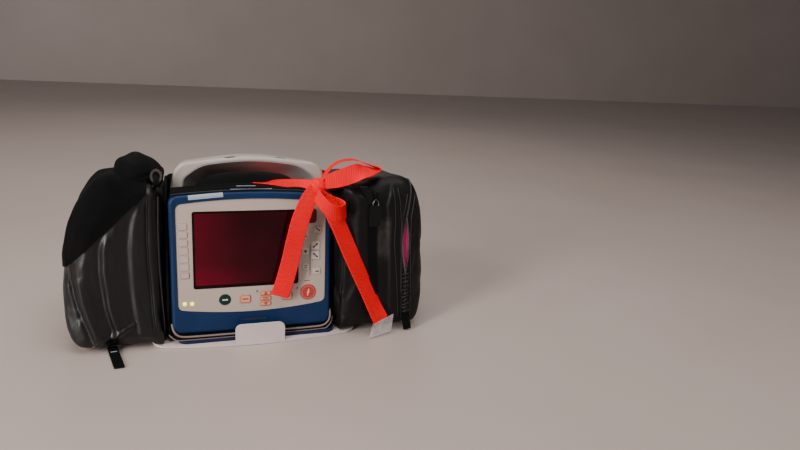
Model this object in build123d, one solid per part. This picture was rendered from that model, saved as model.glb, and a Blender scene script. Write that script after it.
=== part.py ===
from build123d import *
import os
from math import cos, radians, sin, tan

# Portable patient monitor with defibrillator, in a soft carry case with two side pockets,
# standing on its mounting tray. Millimetres and degrees. X across, Y to the back, Z up.
# The origin is the middle of the tray's four bolt holes, on the surface that it stands on.

# The monitor and its case stand a little left of the tray's centre line. All but the tray
# and its pad are drawn about the monitor's own centre line and then moved by this
MONITOR_X = -6.5

# Monitor face: it leans back, and every piece on it is drawn flat, with u across from the
# centre line, v up from the bumper's lower edge and w out of the face
FACE_LEAN = 4.0
FACE_Y = -92.0
FACE_Z = 16.0
BUMPER_WIDTH = 213.6
BUMPER_HEIGHT = 191.7
BUMPER_SHOULDER = 186.0
BUMPER_LOW = -2.2
BUMPER_DEPTH = 26.0
BUMPER_CORNER = 12.0
BUMPER_EDGE = 5.0
GROOVE_WIDTH = 38.0
GROOVE_U = 2.0
GROOVE_V = 14.4
PANEL_WIDTH = 197.4
PANEL_LOW_SIDE = 32.5
PANEL_LOW_MIDDLE = 24.5
PANEL_HIGH_SIDE = 175.0
PANEL_HIGH_MIDDLE = 181.5
PANEL_CORNER = 8.0
PANEL_FRONT = -1.2
PANEL_BACK = -4.4
WINDOW_WIDTH = 139.0
WINDOW_HEIGHT = 104.8
WINDOW_U = -8.5
WINDOW_V = 112.8
WINDOW_FRONT = -1.9
CHASSIS_BACK = -13.0
KEY_GAP = 0.3

# Monitor body behind the bumper
BODY_WIDTH = 207.0
BODY_LOW = 13.9
BODY_TOP = 184.5
BODY_BACK = 88.0
BODY_CORNER = 16.0

# Battery and its bay at the back of the body
BATTERY_WIDTH = 84.0
BATTERY_HEIGHT = 44.0
BATTERY_DEPTH = 104.0
BATTERY_Z = 62.0
BATTERY_PROUD = 9.0
BAY_GAP = 0.5

# Handle: an arch whose hand opening narrows from the front to the back
HANDLE_X = 1.2
HANDLE_FRONT = -40.0
HANDLE_DEPTH = 43.0
GRIP_WALL = 2.0

# Carry case, a padded shell round the monitor
CASE_HALF = 112.3
CASE_WALL = 4.8
CASE_FRONT = -91.0
CASE_BACK = 96.0
CASE_BACK_WALL = 6.0
CASE_FLOOR_LOW = 6.8
CASE_FLOOR_HIGH = 13.4
CASE_SIDE_TOP = 195.0
CASE_LID_LOW = 184.8
CASE_LID_HIGH = 189.6

# Side pockets: fabric shells cut in two at the zip
POCKET_WALL = 4.0
POCKET_INNER = 112.6
POCKET_FOOT = 5.0
ZIP_GAP = 0.6
POCKET_ROUND = 17.0
POCKET_SAG = 0.15
LEFT_TOP = 231.0
RIGHT_TOP = 229.0
LEFT_ZIP = 204.0
RIGHT_ZIP = 214.0
LEFT_FRONT = -93.0
LEFT_BACK = 72.0
RIGHT_FRONT = -103.0
RIGHT_BACK = 66.0

# Strap: flat webbing
STRAP_WIDTH = 25.0
STRAP_THICKNESS = 1.4
WRAP_Z = 208.0
WRAP_IN_HANDLE_Z = 203.3
WRAP_ON_COLLAR_Z = 213.0
TAPE_X = 179.0
TAPE_WIDTH = 31.0
TAPE_THICKNESS = 1.2

# Mounting tray: bent sheet with four bolt holes
TRAY_SHEET = 3.0
TRAY_HALF = 139.0
TRAY_FRONT_SIDE = -95.0
TRAY_FRONT_MIDDLE = -110.0
TRAY_BACK = 100.0
TRAY_CORNER = 24.0
TAB_WIDTH = 66.0
TAB_HEIGHT = 30.0
TAB_CORNER = 8.0
BOLT_SPACING_X = 160.0
BOLT_SPACING_Y = 110.0
BOLT_HOLE_RADIUS = 3.3

FACE = Plane(
    origin=(0, FACE_Y, FACE_Z),
    x_dir=(1, 0, 0),
    z_dir=(0, -cos(radians(FACE_LEAN)), sin(radians(FACE_LEAN))),
)
FRONT_VIEW = Plane.XZ


def crowned(half_width, low_side, low_middle, high_side, high_middle, corner):
    """Flat outline with straight sides, bowed lower and upper edges and round corners."""
    edges = [
        ThreePointArc((-half_width, low_side), (0, low_middle), (half_width, low_side)),
        Line((half_width, low_side), (half_width, high_side)),
        ThreePointArc((half_width, high_side), (0, high_middle), (-half_width, high_side)),
        Line((-half_width, high_side), (-half_width, low_side)),
    ]
    face = make_face(edges)
    return fillet(face.vertices(), corner)


def slab(outline, back, front):
    """A flat outline given thickness along w, from back to front."""
    return Pos(0, 0, back) * extrude(outline, amount=front - back)


def rounded_block(width, height, back, front, radius):
    return slab(RectangleRounded(width, height, radius), back, front)


def top_edges(solid):
    """Edges of the face that looks furthest out along w."""
    return solid.faces().sort_by(Axis.Z)[-1].edges()


# Bumper and front panel

def bumper_frame():
    outline = crowned(BUMPER_WIDTH / 2, BUMPER_LOW + 1, BUMPER_LOW, BUMPER_SHOULDER, BUMPER_HEIGHT, BUMPER_CORNER)
    block = fillet(top_edges(slab(outline, -BUMPER_DEPTH, 0)), BUMPER_EDGE)
    block -= slab(panel_outline(KEY_GAP), -BUMPER_DEPTH - 1, 1)
    block -= Pos(GROOVE_U, GROOVE_V) * rounded_block(GROOVE_WIDTH, 1.8, -0.8, 1, 0.8)
    ground = Pos(0, FACE_Y, CASE_FLOOR_HIGH + 0.1 - 20) * Box(400, 200, 40)
    return FACE * block - ground


def panel_outline(grow):
    return crowned(
        PANEL_WIDTH / 2 + grow,
        PANEL_LOW_SIDE - grow,
        PANEL_LOW_MIDDLE - grow,
        PANEL_HIGH_SIDE + grow,
        PANEL_HIGH_MIDDLE + grow,
        PANEL_CORNER + grow,
    )


# Rectangular keys by node: u, v, width, height, corner radius
RECTANGULAR_KEYS = {
    "softkeys": [(-90.2 + 0.25 * row, 145.8 - 10.9 * row, 11.6, 8.8, 1.8) for row in range(7)],
    "alarm_key": [(75.5, 156.0, 20.0, 20.0, 4.0)],
    "side_keys": [
        (87.0, 136.3, 11.0, 9.0, 2.0),
        (71.0, 127.5, 10.0, 9.0, 2.0),
        (84.5, 113.9, 12.4, 12.6, 2.0),
        (84.5, 100.1, 12.4, 12.6, 2.0),
        (70.7, 106.1, 10.0, 11.0, 2.0),
        (71.2, 84.0, 10.0, 9.0, 2.0),
        (86.6, 77.0, 11.0, 9.0, 2.0),
    ],
    "back_key": [(-11.4, 43.0, 14.6, 12.0, 2.6)],
    "nav_keys": [
        (15.8, 49.6, 15.0, 6.6, 2.2),
        (15.8, 42.1, 15.0, 6.6, 1.0),
        (15.8, 34.6, 15.0, 6.6, 2.2),
    ],
    "home_key": [(45.4, 42.9, 14.6, 10.6, 2.6)],
}
# Round keys by node: u, v, radius
ROUND_KEYS = {
    "power_key": [(-38.2, 43.6, 7.6)],
    "shock_key": [(74.7, 46.9, 10.2)],
    "status_leds": [(-89.8, 41.1, 2.6), (-80.6, 40.7, 2.6)],
}
KEY_FRONT = -0.3
KEY_EDGE = 0.5


def key_outlines(node, grow):
    """Placed flat outlines of one node's keys, larger by grow all round."""
    outlines = []
    for u, v, width, height, corner in RECTANGULAR_KEYS.get(node, []):
        outline = RectangleRounded(width + 2 * grow, height + 2 * grow, corner + grow)
        outlines.append(Pos(u, v) * outline)
    for u, v, radius in ROUND_KEYS.get(node, []):
        outlines.append(Pos(u, v) * Circle(radius + grow))
    return outlines


def keys(node):
    solids = []
    for outline in key_outlines(node, 0):
        cap = slab(outline, PANEL_BACK, KEY_FRONT)
        solids.append(FACE * chamfer(top_edges(cap), KEY_EDGE))
    return Compound(solids)


def window_block(grow, back, front):
    block = rounded_block(WINDOW_WIDTH + 2 * grow, WINDOW_HEIGHT + 2 * grow, back, front, 3.0 + grow)
    return Pos(WINDOW_U, WINDOW_V) * block


def front_panel():
    panel = chamfer(top_edges(slab(panel_outline(0), PANEL_BACK, PANEL_FRONT)), 0.6)
    panel -= window_block(KEY_GAP, PANEL_BACK - 1, 1)
    for node in list(RECTANGULAR_KEYS) + list(ROUND_KEYS):
        for outline in key_outlines(node, KEY_GAP):
            panel -= slab(outline, PANEL_BACK - 1, 1)
    return FACE * panel


def display_window():
    return FACE * window_block(0, PANEL_BACK, WINDOW_FRONT)


def display_chassis():
    """Plate behind the panel that carries the glass and backs the keys."""
    return FACE * slab(panel_outline(0), CHASSIS_BACK, PANEL_BACK)


# Monitor body, battery and handle

def monitor_housing():
    """Body that tapers a little to the back, with a spigot inside the bumper."""
    front = FACE_Y + BUMPER_DEPTH / cos(radians(FACE_LEAN)) + 0.1
    top_setback = (BODY_TOP - FACE_Z) * tan(radians(FACE_LEAN))
    side_view = Polyline(
        (front, BODY_LOW),
        (BODY_BACK, BODY_LOW),
        (BODY_BACK, BODY_TOP - 6),
        (BODY_BACK - 30, BODY_TOP),
        (front + top_setback, BODY_TOP),
        close=True,
    )
    body = extrude(Plane.YZ * make_face(side_view), amount=BODY_WIDTH / 2, both=True)
    body = fillet(body.edges().filter_by(Axis.Y).group_by(Axis.Z)[0], 8)
    body = fillet(body.faces().sort_by(Axis.Y)[-1].edges().filter_by(Axis.Z), BODY_CORNER)
    spigot = FACE * slab(panel_outline(0), -BUMPER_DEPTH - 1, CHASSIS_BACK)
    bay = battery_block(BAY_GAP, BODY_BACK + 1)
    return body + spigot - bay


def battery_block(grow, back):
    block = RectangleRounded(BATTERY_WIDTH + 2 * grow, BATTERY_HEIGHT + 2 * grow, 5 + grow)
    front = BODY_BACK - BATTERY_DEPTH - grow
    return Plane((0, front, BATTERY_Z), x_dir=(-1, 0, 0), z_dir=(0, 1, 0)) * extrude(block, amount=back - front)


def battery_pack():
    """Pack with finger hollows in its proud end."""
    pack = battery_block(0, BODY_BACK + BATTERY_PROUD)
    pack = chamfer(pack.faces().sort_by(Axis.Y)[-1].edges(), 1.5)
    for side in (-1, 1):
        hollow = Pos(side * (BATTERY_WIDTH / 2 + 7), BODY_BACK + 5, BATTERY_Z) * Cylinder(12, 30)
        pack -= hollow
    return pack


def arch(half_foot, foot, corners):
    """Flat arch from foot to foot. corners: x, z, radius, up the left leg to the crown."""
    legs = [(-half_foot, foot, 0.0)] + corners
    points = legs + [(-x, z, radius) for x, z, radius in reversed(legs[:-1])]
    path = FilletPolyline(
        *[(x, z) for x, z, radius in points],
        radius=[radius for x, z, radius in points[1:-1]],
    )
    sill = Line((half_foot, foot), (-half_foot, foot))
    return make_face(path.edges() + sill.edges())


def hand_funnel(grow):
    """Solid of the opening, wide and high at the front, narrow and low at the back."""
    floor = BODY_TOP - 5
    sections = []
    for y, half_foot, corners in (
        (HANDLE_FRONT, 89.0, [(-88.0, 216.0, 14.0), (-66.0, 233.3, 50.0), (0.0, 242.3, 300.0)]),
        (HANDLE_FRONT + HANDLE_DEPTH, 72.0, [(-71.0, 199.0, 14.0), (-56.0, 211.5, 40.0), (0.0, 220.5, 280.0)]),
    ):
        outline = arch(half_foot, floor, corners)
        if grow:
            outline = offset(outline, amount=grow)
        plane = Plane((HANDLE_X, y, 0), x_dir=(1, 0, 0), z_dir=(0, -1, 0))
        sections.append(plane * outline)
    return loft(sections, ruled=True)


def handle_block():
    """Outer form of the handle, a little lower and narrower at the back than at the front."""
    foot = BODY_TOP + 0.1
    sections = []
    for y, half_foot, corners in (
        (HANDLE_FRONT, 105.2, [(-105.2, 198.0, 30.0), (-98.5, 236.8, 22.0), (0.0, 248.0, 300.0)]),
        (HANDLE_FRONT + HANDLE_DEPTH, 104.0, [(-104.0, 197.0, 30.0), (-95.5, 231.3, 22.0), (0.0, 245.0, 280.0)]),
    ):
        plane = Plane((HANDLE_X, y, 0), x_dir=(1, 0, 0), z_dir=(0, -1, 0))
        sections.append(plane * arch(half_foot, foot, corners))
    block = loft(sections, ruled=True)
    ends = block.faces().filter_by(Axis.Y)
    crown = [edge for edge in ends.edges() if edge.center().Z > BODY_TOP + 1]
    return fillet(crown, 4.0)


def handle_shell():
    return handle_block() - hand_funnel(GRIP_WALL)


def handle_grip():
    """Dark lining of the hand opening, inset from the arch's front and back."""
    band = hand_funnel(GRIP_WALL) - hand_funnel(0)
    above = Pos(0, HANDLE_FRONT + HANDLE_DEPTH / 2, BODY_TOP + 55.1) * Box(220, HANDLE_DEPTH, 110)
    return band & above


# Carry case

def case_bottom_panel():
    outline = RectangleRounded(2 * CASE_HALF, CASE_BACK + CASE_BACK_WALL - CASE_FRONT + 3, 14)
    middle = (CASE_BACK + CASE_BACK_WALL + CASE_FRONT - 3) / 2
    panel = Pos(0, middle, CASE_FLOOR_LOW) * extrude(outline, amount=CASE_FLOOR_HIGH - CASE_FLOOR_LOW)
    return fillet(panel.edges().filter_by(Plane.XY), 3)


def case_side_panel(side):
    """Padded wall, its upper corners cut round."""
    side_view = Polyline(
        (CASE_FRONT + 3, CASE_FLOOR_HIGH + 0.1),
        (CASE_BACK - 0.2, CASE_FLOOR_HIGH + 0.1),
        (CASE_BACK - 0.2, CASE_SIDE_TOP),
        (CASE_FRONT + 18, CASE_SIDE_TOP),
        close=True,
    )
    face = make_face(side_view)
    face = fillet(face.vertices().group_by(Axis.Y)[-1], 12)
    panel = extrude(Plane.YZ * face, amount=CASE_WALL)
    return Pos(side * (CASE_HALF - CASE_WALL / 2) - CASE_WALL / 2, 0, 0) * panel


def case_back_panel():
    """Padded back with an opening for the battery."""
    height = CASE_SIDE_TOP - CASE_FLOOR_HIGH - 0.2
    outline = RectangleRounded(2 * CASE_HALF, height, 12)
    panel = extrude(outline, amount=CASE_BACK_WALL)
    middle = CASE_FLOOR_HIGH + 0.1 + height / 2
    opening = RectangleRounded(BATTERY_WIDTH + 20, BATTERY_HEIGHT + 20, 10)
    panel -= Pos(0, BATTERY_Z - middle, -1) * extrude(opening, amount=CASE_BACK_WALL + 2)
    return Plane((0, CASE_BACK, middle), x_dir=(-1, 0, 0), z_dir=(0, 1, 0)) * panel


def case_top_panel():
    """Padded cover over the body, cut out round the handle's legs."""
    front = HANDLE_FRONT - 3
    depth = CASE_BACK - front - 0.2
    panel = Pos(0, front + depth / 2, CASE_LID_LOW) * extrude(Rectangle(211, depth), amount=CASE_LID_HIGH - CASE_LID_LOW)
    for side in (-1, 1):
        notch = Pos(side * 92.0, HANDLE_FRONT + HANDLE_DEPTH / 2, CASE_LID_LOW) * Box(48, HANDLE_DEPTH + 4, 30)
        panel -= notch
    return panel


def case_top_strip():
    """Padded collar that lies on the bumper's crown and drops behind it to the body."""
    half_width = 104.0
    lean = cos(radians(FACE_LEAN))
    low_side = FACE_Z + BUMPER_SHOULDER * lean + 0.7
    low_middle = FACE_Z + BUMPER_HEIGHT * lean + 0.7
    collar = [
        ThreePointArc((-half_width, low_side - 0.6), (0, low_middle), (half_width, low_side - 0.6)),
        Line((half_width, low_side - 0.6), (half_width, low_side + 3)),
        ThreePointArc((half_width, low_side + 3), (0, low_middle + 3.6), (-half_width, low_side + 3)),
        Line((-half_width, low_side + 3), (-half_width, low_side - 0.6)),
    ]
    strip = Pos(0, -43.2, 0) * extrude(FRONT_VIEW * make_face(collar), amount=33)
    drop = [
        Line((-half_width, CASE_LID_LOW), (half_width, CASE_LID_LOW)),
        Line((half_width, CASE_LID_LOW), (half_width, low_side)),
        ThreePointArc((half_width, low_side), (0, low_middle + 1), (-half_width, low_side)),
        Line((-half_width, low_side), (-half_width, CASE_LID_LOW)),
    ]
    wall = Pos(0, -43.2, 0) * extrude(FRONT_VIEW * make_face(drop), amount=6)
    return strip + wall


# Side pockets

def pocket_face(side, corners, top):
    """Flat outline of a pocket seen from the front. corners: x, z, radius."""
    points = [(x, z) for x, z, radius in corners]
    path = FilletPolyline(
        (side * POCKET_INNER, POCKET_FOOT),
        *points,
        (side * POCKET_INNER, top),
        radius=[radius for x, z, radius in corners],
    )
    wall = Line((side * POCKET_INNER, top), (side * POCKET_INNER, POCKET_FOOT))
    return make_face(path.edges() + wall.edges())


def left_pocket_face():
    """Sagging outline of the left pocket."""
    corners = [
        (-237.0, 4.5, 32.0),
        (-240.0, 105.0, 300.0),
        (-226.0, 190.0, 70.0),
        (-180.0, 232.0, 35.0),
    ]
    return pocket_face(-1, corners, 212)


def right_pocket_face():
    """Fuller outline of the right pocket."""
    corners = [
        (244.5, 4.5, 28.0),
        (245.5, 98.0, 300.0),
        (238.0, 178.0, 120.0),
        (214.0, 231.0, 28.0),
    ]
    return pocket_face(1, corners, 222)


def under_sag(top):
    """Space under the plane in which a pocket's top falls to the back. top is its height at Y -80."""
    plane = Plane(origin=(0, -80, top), x_dir=(1, 0, 0), z_dir=(0, POCKET_SAG, 1))
    return plane * Pos(0, 0, -200) * Box(800, 800, 400)


def pocket_shell(face, front, back, top):
    """Hollow pocket with soft front and back edges and a top that sags to the back."""
    outer = Pos(0, back, 0) * extrude(FRONT_VIEW * face, amount=back - front)
    inner_face = offset(face, amount=-POCKET_WALL)
    inner = Pos(0, back - POCKET_WALL, 0) * extrude(
        FRONT_VIEW * inner_face, amount=back - front - 2 * POCKET_WALL
    )
    outer = round_ends(outer, POCKET_ROUND) & under_sag(top)
    inner = round_ends(inner, POCKET_ROUND - POCKET_WALL) & under_sag(top - POCKET_WALL)
    return outer - inner


def round_ends(solid, radius):
    """Round all edges of the front and back faces but the one beside the case."""
    near = min(abs(solid.bounding_box().min.X), abs(solid.bounding_box().max.X))
    ends = solid.faces().sort_by(Axis.Y)
    edges = [edge for edge in ends[0].edges() + ends[-1].edges() if abs(edge.center().X) > near + 1]
    return fillet(edges, radius)


def pocket_parts(face, front, back, top, zip_x):
    """The pocket's body and lid, parted at the zip."""
    shell = pocket_shell(face, front, back, top)
    reach = 400.0
    side = 1 if zip_x > 0 else -1
    middle = (front + back) / 2
    inside = Pos(zip_x - side * (reach + ZIP_GAP) / 2, middle, 100) * Box(reach, 400, 400)
    outside = Pos(zip_x + side * (reach + ZIP_GAP) / 2, middle, 100) * Box(reach, 400, 400)
    return shell & inside, shell & outside


def shoulder_strap_roll():
    """Rolled shoulder pad on top of the left pocket, flattened by its own weight."""
    along = Plane((-142, -20, 235.9), x_dir=(0.959, 0, -0.284), z_dir=(0, -1, 0))
    return along * extrude(Ellipse(18, 14), amount=66)


def strap_buckle():
    """Oval wire ring at the roll's inner end."""
    ring = Ellipse(7, 9) - Ellipse(4.4, 6.4)
    return Plane((-119, -86.4, 230), x_dir=(1, 0, 0), z_dir=(0, -1, 0)) * extrude(ring, amount=2.6)


def left_zip_pull():
    """Webbing pull that lies on the surface in front of the left pocket."""
    ends = Polyline((-187, -88), (-174.5, -89), (-163, -142), (-175, -143), close=True)
    return Pos(0, 0, 0.1) * extrude(make_face(ends), amount=2.2)


def right_zip_pull():
    """Webbing pull that hangs from the right pocket's zip."""
    ends = Polyline((209, 26), (221, 26), (226, 1), (215, 0.5), close=True)
    return Pos(0, -105.6, 0) * extrude(FRONT_VIEW * make_face(ends), amount=2.2)


def right_pocket_clip():
    """Side-release clip on a short web, against the right pocket's front."""
    web = Polyline((138, 217), (149, 217), (166, 190), (156, 190), close=True)
    clip = RectangleRounded(17, 30, 4)
    piece = extrude(FRONT_VIEW * make_face(web), amount=2.4)
    piece += extrude(FRONT_VIEW * (Pos(161, 176) * clip), amount=5)
    return Pos(0, -103.4, 0) * piece


# Tie strap

def band(plane, points, radii, line_width, depth):
    """Flat path with round corners, given a width in its plane and a depth along its normal."""
    path = FilletPolyline(*points, radius=radii) if radii else Line(*points)
    outline = trace(path, line_width=line_width)
    return plane * (Pos(0, 0, -depth / 2) * extrude(outline, amount=depth))


def strap_wrap():
    """Band that lies flat on the collar, folds, and goes behind the handle's right leg."""
    lying = Plane((0, 0, WRAP_ON_COLLAR_Z))
    flat = band(lying, [(76, -62), (30, -61), (3, -42.5)], [40], STRAP_WIDTH, STRAP_THICKNESS)
    inside = Plane((0, 0, WRAP_IN_HANDLE_Z))
    upright = band(inside, [(5, -42), (10, 12), (100, 14)], [12], STRAP_THICKNESS, STRAP_WIDTH)
    outside = Plane((0, 0, WRAP_Z))
    upright += band(outside, [(90, 13.8), (109, 14.2), (109, -50)], [5], STRAP_THICKNESS, STRAP_WIDTH)
    gathered = Plane((0, 0, WRAP_Z + STRAP_WIDTH / 4))
    to_knot = band(gathered, [(109, -42), (109, -52), (100, -73)], [12], STRAP_THICKNESS, STRAP_WIDTH / 2)
    return flat + upright + to_knot


def bow_loop(start, tip, width_direction, bulge):
    """Drop-shaped band from the knot out to its tip and back."""
    along = Vector(*tip) - Vector(*start)
    length = along.length
    plane = Plane(origin=start, x_dir=along, z_dir=width_direction)
    outline = FilletPolyline(
        (0, 0),
        (0.35 * length, bulge),
        (0.85 * length, 0.8 * bulge),
        (length, 0),
        (0.7 * length, -0.6 * bulge),
        (0.3 * length, -0.7 * bulge),
        radius=0.3 * bulge,
        close=True,
    )
    drop = make_face(outline)
    ring = drop - offset(drop, amount=-STRAP_THICKNESS)
    return plane * (Pos(0, 0, -STRAP_WIDTH / 2) * extrude(ring, amount=STRAP_WIDTH))


def strap_tail(points, y):
    """Hanging end, flat to the front."""
    upright = Plane((0, y, 0), x_dir=(1, 0, 0), z_dir=(0, -1, 0))
    return band(upright, points, [400] * (len(points) - 2), STRAP_WIDTH, STRAP_THICKNESS)


def strap_knot():
    knot = Pos(88, -80, 218.5) * Box(24, 18, 19)
    return fillet(knot.edges(), 6)


def tape_tag():
    """Clear tape folded over the right tail's end, its foot on the surface."""
    side_view = [(-114, 25), (-121, 11), (-131, 0.9)]
    return band(Plane.YZ.offset(TAPE_X), side_view, [30], TAPE_THICKNESS, TAPE_WIDTH)


# Mounting tray

def tray_outline():
    half = TRAY_HALF
    edges = [
        ThreePointArc((-half, TRAY_FRONT_SIDE), (0, TRAY_FRONT_MIDDLE), (half, TRAY_FRONT_SIDE)),
        Line((half, TRAY_FRONT_SIDE), (half, TRAY_BACK)),
        Line((half, TRAY_BACK), (-half, TRAY_BACK)),
        Line((-half, TRAY_BACK), (-half, TRAY_FRONT_SIDE)),
    ]
    face = make_face(edges)
    return fillet(face.vertices(), TRAY_CORNER)


def mounting_tray():
    plate = extrude(tray_outline(), amount=TRAY_SHEET)
    tab_outline = RectangleRounded(TAB_WIDTH, 2 * TAB_HEIGHT, TAB_CORNER)
    tab = Pos(0, TRAY_FRONT_MIDDLE + 0.6 + TRAY_SHEET, 0) * extrude(FRONT_VIEW * tab_outline, amount=TRAY_SHEET)
    tab &= Pos(0, TRAY_FRONT_MIDDLE, TAB_HEIGHT) * Box(200, 40, 2 * TAB_HEIGHT)
    tray = plate + tab
    for x in (-BOLT_SPACING_X / 2, BOLT_SPACING_X / 2):
        for y in (-BOLT_SPACING_Y / 2, BOLT_SPACING_Y / 2):
            tray -= Pos(x, y, 0) * Cylinder(BOLT_HOLE_RADIUS, 20)
    return tray


def tray_pad():
    pad = Pos(0, 0, TRAY_SHEET) * extrude(RectangleRounded(212, 196, 12), amount=CASE_FLOOR_LOW - TRAY_SHEET - 0.1)
    for x in (-BOLT_SPACING_X / 2, BOLT_SPACING_X / 2):
        for y in (-BOLT_SPACING_Y / 2, BOLT_SPACING_Y / 2):
            pad -= Pos(x, y, 0) * Cylinder(9, 30)
    return pad


def build_all():
    left_body, left_lid = pocket_parts(left_pocket_face(), LEFT_FRONT, LEFT_BACK, LEFT_TOP, -LEFT_ZIP)
    right_body, right_lid = pocket_parts(right_pocket_face(), RIGHT_FRONT, RIGHT_BACK, RIGHT_TOP, RIGHT_ZIP)
    on_monitor = {
        "bumper_frame": bumper_frame(),
        "front_panel": front_panel(),
        "display_window": display_window(),
        "display_chassis": display_chassis(),
        "monitor_housing": monitor_housing(),
        "battery_pack": battery_pack(),
        "handle_shell": handle_shell(),
        "handle_grip": handle_grip(),
        "case_bottom_panel": case_bottom_panel(),
        "case_left_panel": case_side_panel(-1),
        "case_right_panel": case_side_panel(1),
        "case_back_panel": case_back_panel(),
        "case_top_panel": case_top_panel(),
        "case_top_strip": case_top_strip(),
        "left_pocket_body": left_body,
        "left_pocket_lid": left_lid,
        "right_pocket_body": right_body,
        "right_pocket_lid": right_lid,
        "shoulder_strap_roll": shoulder_strap_roll(),
        "strap_buckle": strap_buckle(),
        "left_zip_pull": left_zip_pull(),
        "right_zip_pull": right_zip_pull(),
        "right_pocket_clip": right_pocket_clip(),
        "strap_wrap": strap_wrap(),
        "strap_knot": strap_knot(),
        "strap_loop_upper": bow_loop((91, -94, 229), (169, -98, 242), (0.15, -0.75, -0.64), 13),
        "strap_loop_lower": bow_loop((91, -103, 203), (120, -117, 184), (0.5, -0.25, 0.83), 9),
        "strap_tail_left": strap_tail([(71, 206), (57, 152), (34, 64)], -97),
        "strap_tail_right": strap_tail([(107, 172), (139, 100), (177, 21)], -109),
        "tape_tag": tape_tag(),
    }
    for node in list(RECTANGULAR_KEYS) + list(ROUND_KEYS):
        on_monitor[node] = keys(node)
    placed = {node: Pos(MONITOR_X, 0, 0) * shape for node, shape in on_monitor.items()}
    placed["mounting_tray"] = mounting_tray()
    placed["tray_pad"] = tray_pad()
    return placed


os.makedirs("parts", exist_ok=True)
for node, shape in build_all().items():
    export_step(shape, f"parts/{node}.step")
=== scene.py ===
import bmesh
import bpy
from math import cos, pi, radians, sin
from mathutils import Matrix, Vector
from mathutils.bvhtree import BVHTree


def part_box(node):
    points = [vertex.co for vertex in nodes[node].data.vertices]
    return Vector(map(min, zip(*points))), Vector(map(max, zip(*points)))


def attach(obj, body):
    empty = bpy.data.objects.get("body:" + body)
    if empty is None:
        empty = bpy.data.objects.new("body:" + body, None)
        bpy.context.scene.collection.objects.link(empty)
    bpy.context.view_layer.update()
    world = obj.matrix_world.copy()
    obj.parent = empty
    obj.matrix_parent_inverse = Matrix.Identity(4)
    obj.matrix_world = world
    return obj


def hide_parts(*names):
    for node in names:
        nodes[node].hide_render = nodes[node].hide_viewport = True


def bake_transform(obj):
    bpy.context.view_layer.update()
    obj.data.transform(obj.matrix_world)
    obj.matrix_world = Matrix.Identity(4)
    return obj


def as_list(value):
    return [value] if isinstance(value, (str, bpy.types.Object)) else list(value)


# Portable patient monitor in its carry case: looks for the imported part.
# Lengths are millimetres about the monitor's centre line, X across, Y to the back, Z up.

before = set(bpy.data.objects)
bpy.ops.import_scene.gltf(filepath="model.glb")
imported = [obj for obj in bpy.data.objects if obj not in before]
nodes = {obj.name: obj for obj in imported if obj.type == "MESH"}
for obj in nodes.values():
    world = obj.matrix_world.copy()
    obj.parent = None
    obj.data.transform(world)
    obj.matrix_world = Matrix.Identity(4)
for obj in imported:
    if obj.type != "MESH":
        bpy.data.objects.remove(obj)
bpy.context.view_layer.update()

MM = 0.001
MONITOR_X = -6.5
FACE_Y = -92.0
FACE_Z = 16.0
FACE_LEAN = radians(4)


def at(x, y, z):
    return Vector((x + MONITOR_X, y, z)) * MM


def stood(origin, across, up, out):
    """Matrix that puts a piece at an origin, its own axes along the three given ones."""
    return Matrix.Translation(origin) @ Matrix((across, up, out)).transposed().to_4x4()


# The monitor's leaning face: u across, v up, w out of it
FACE_MATRIX = stood(
    at(0, FACE_Y, FACE_Z),
    (1, 0, 0),
    (0, sin(FACE_LEAN), cos(FACE_LEAN)),
    (0, -cos(FACE_LEAN), sin(FACE_LEAN)),
)


def new_object(name, data):
    made = bpy.data.objects.new(name, data)
    bpy.context.scene.collection.objects.link(made)
    return made


# Camera, at the photograph's own place

def set_camera():
    lens = bpy.data.cameras.new("camera")
    lens.lens = 29.27
    lens.sensor_width = 36.0
    lens.clip_start = 0.01
    lens.clip_end = 100.0
    camera = new_object("camera", lens)
    right = (0.94502923, -0.32112152, 0.06164997)
    up = (0.03224991, 0.27915551, 0.9597042)
    behind = (-0.3253916, -0.90496031, 0.27416626)
    camera.matrix_world = stood(Vector((-0.104, -0.9299, 0.4114)), right, up, behind)
    bpy.context.scene.camera = camera


# Material tools

finishes = {}


class Wire:
    """A value socket of a finish, so that sums on it are written as Python sums."""

    def __init__(self, finish, socket):
        self.finish = finish
        self.socket = socket

    def maths(self, operation, first, second):
        return self.finish.node("Math", {"operation": operation}, {0: first, 1: second})

    def __add__(self, other):
        return self.maths("ADD", self, other)

    def __rsub__(self, other):
        return self.maths("SUBTRACT", other, self)

    def __mul__(self, other):
        return self.maths("MULTIPLY", self, other)

    __radd__ = __add__


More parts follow.
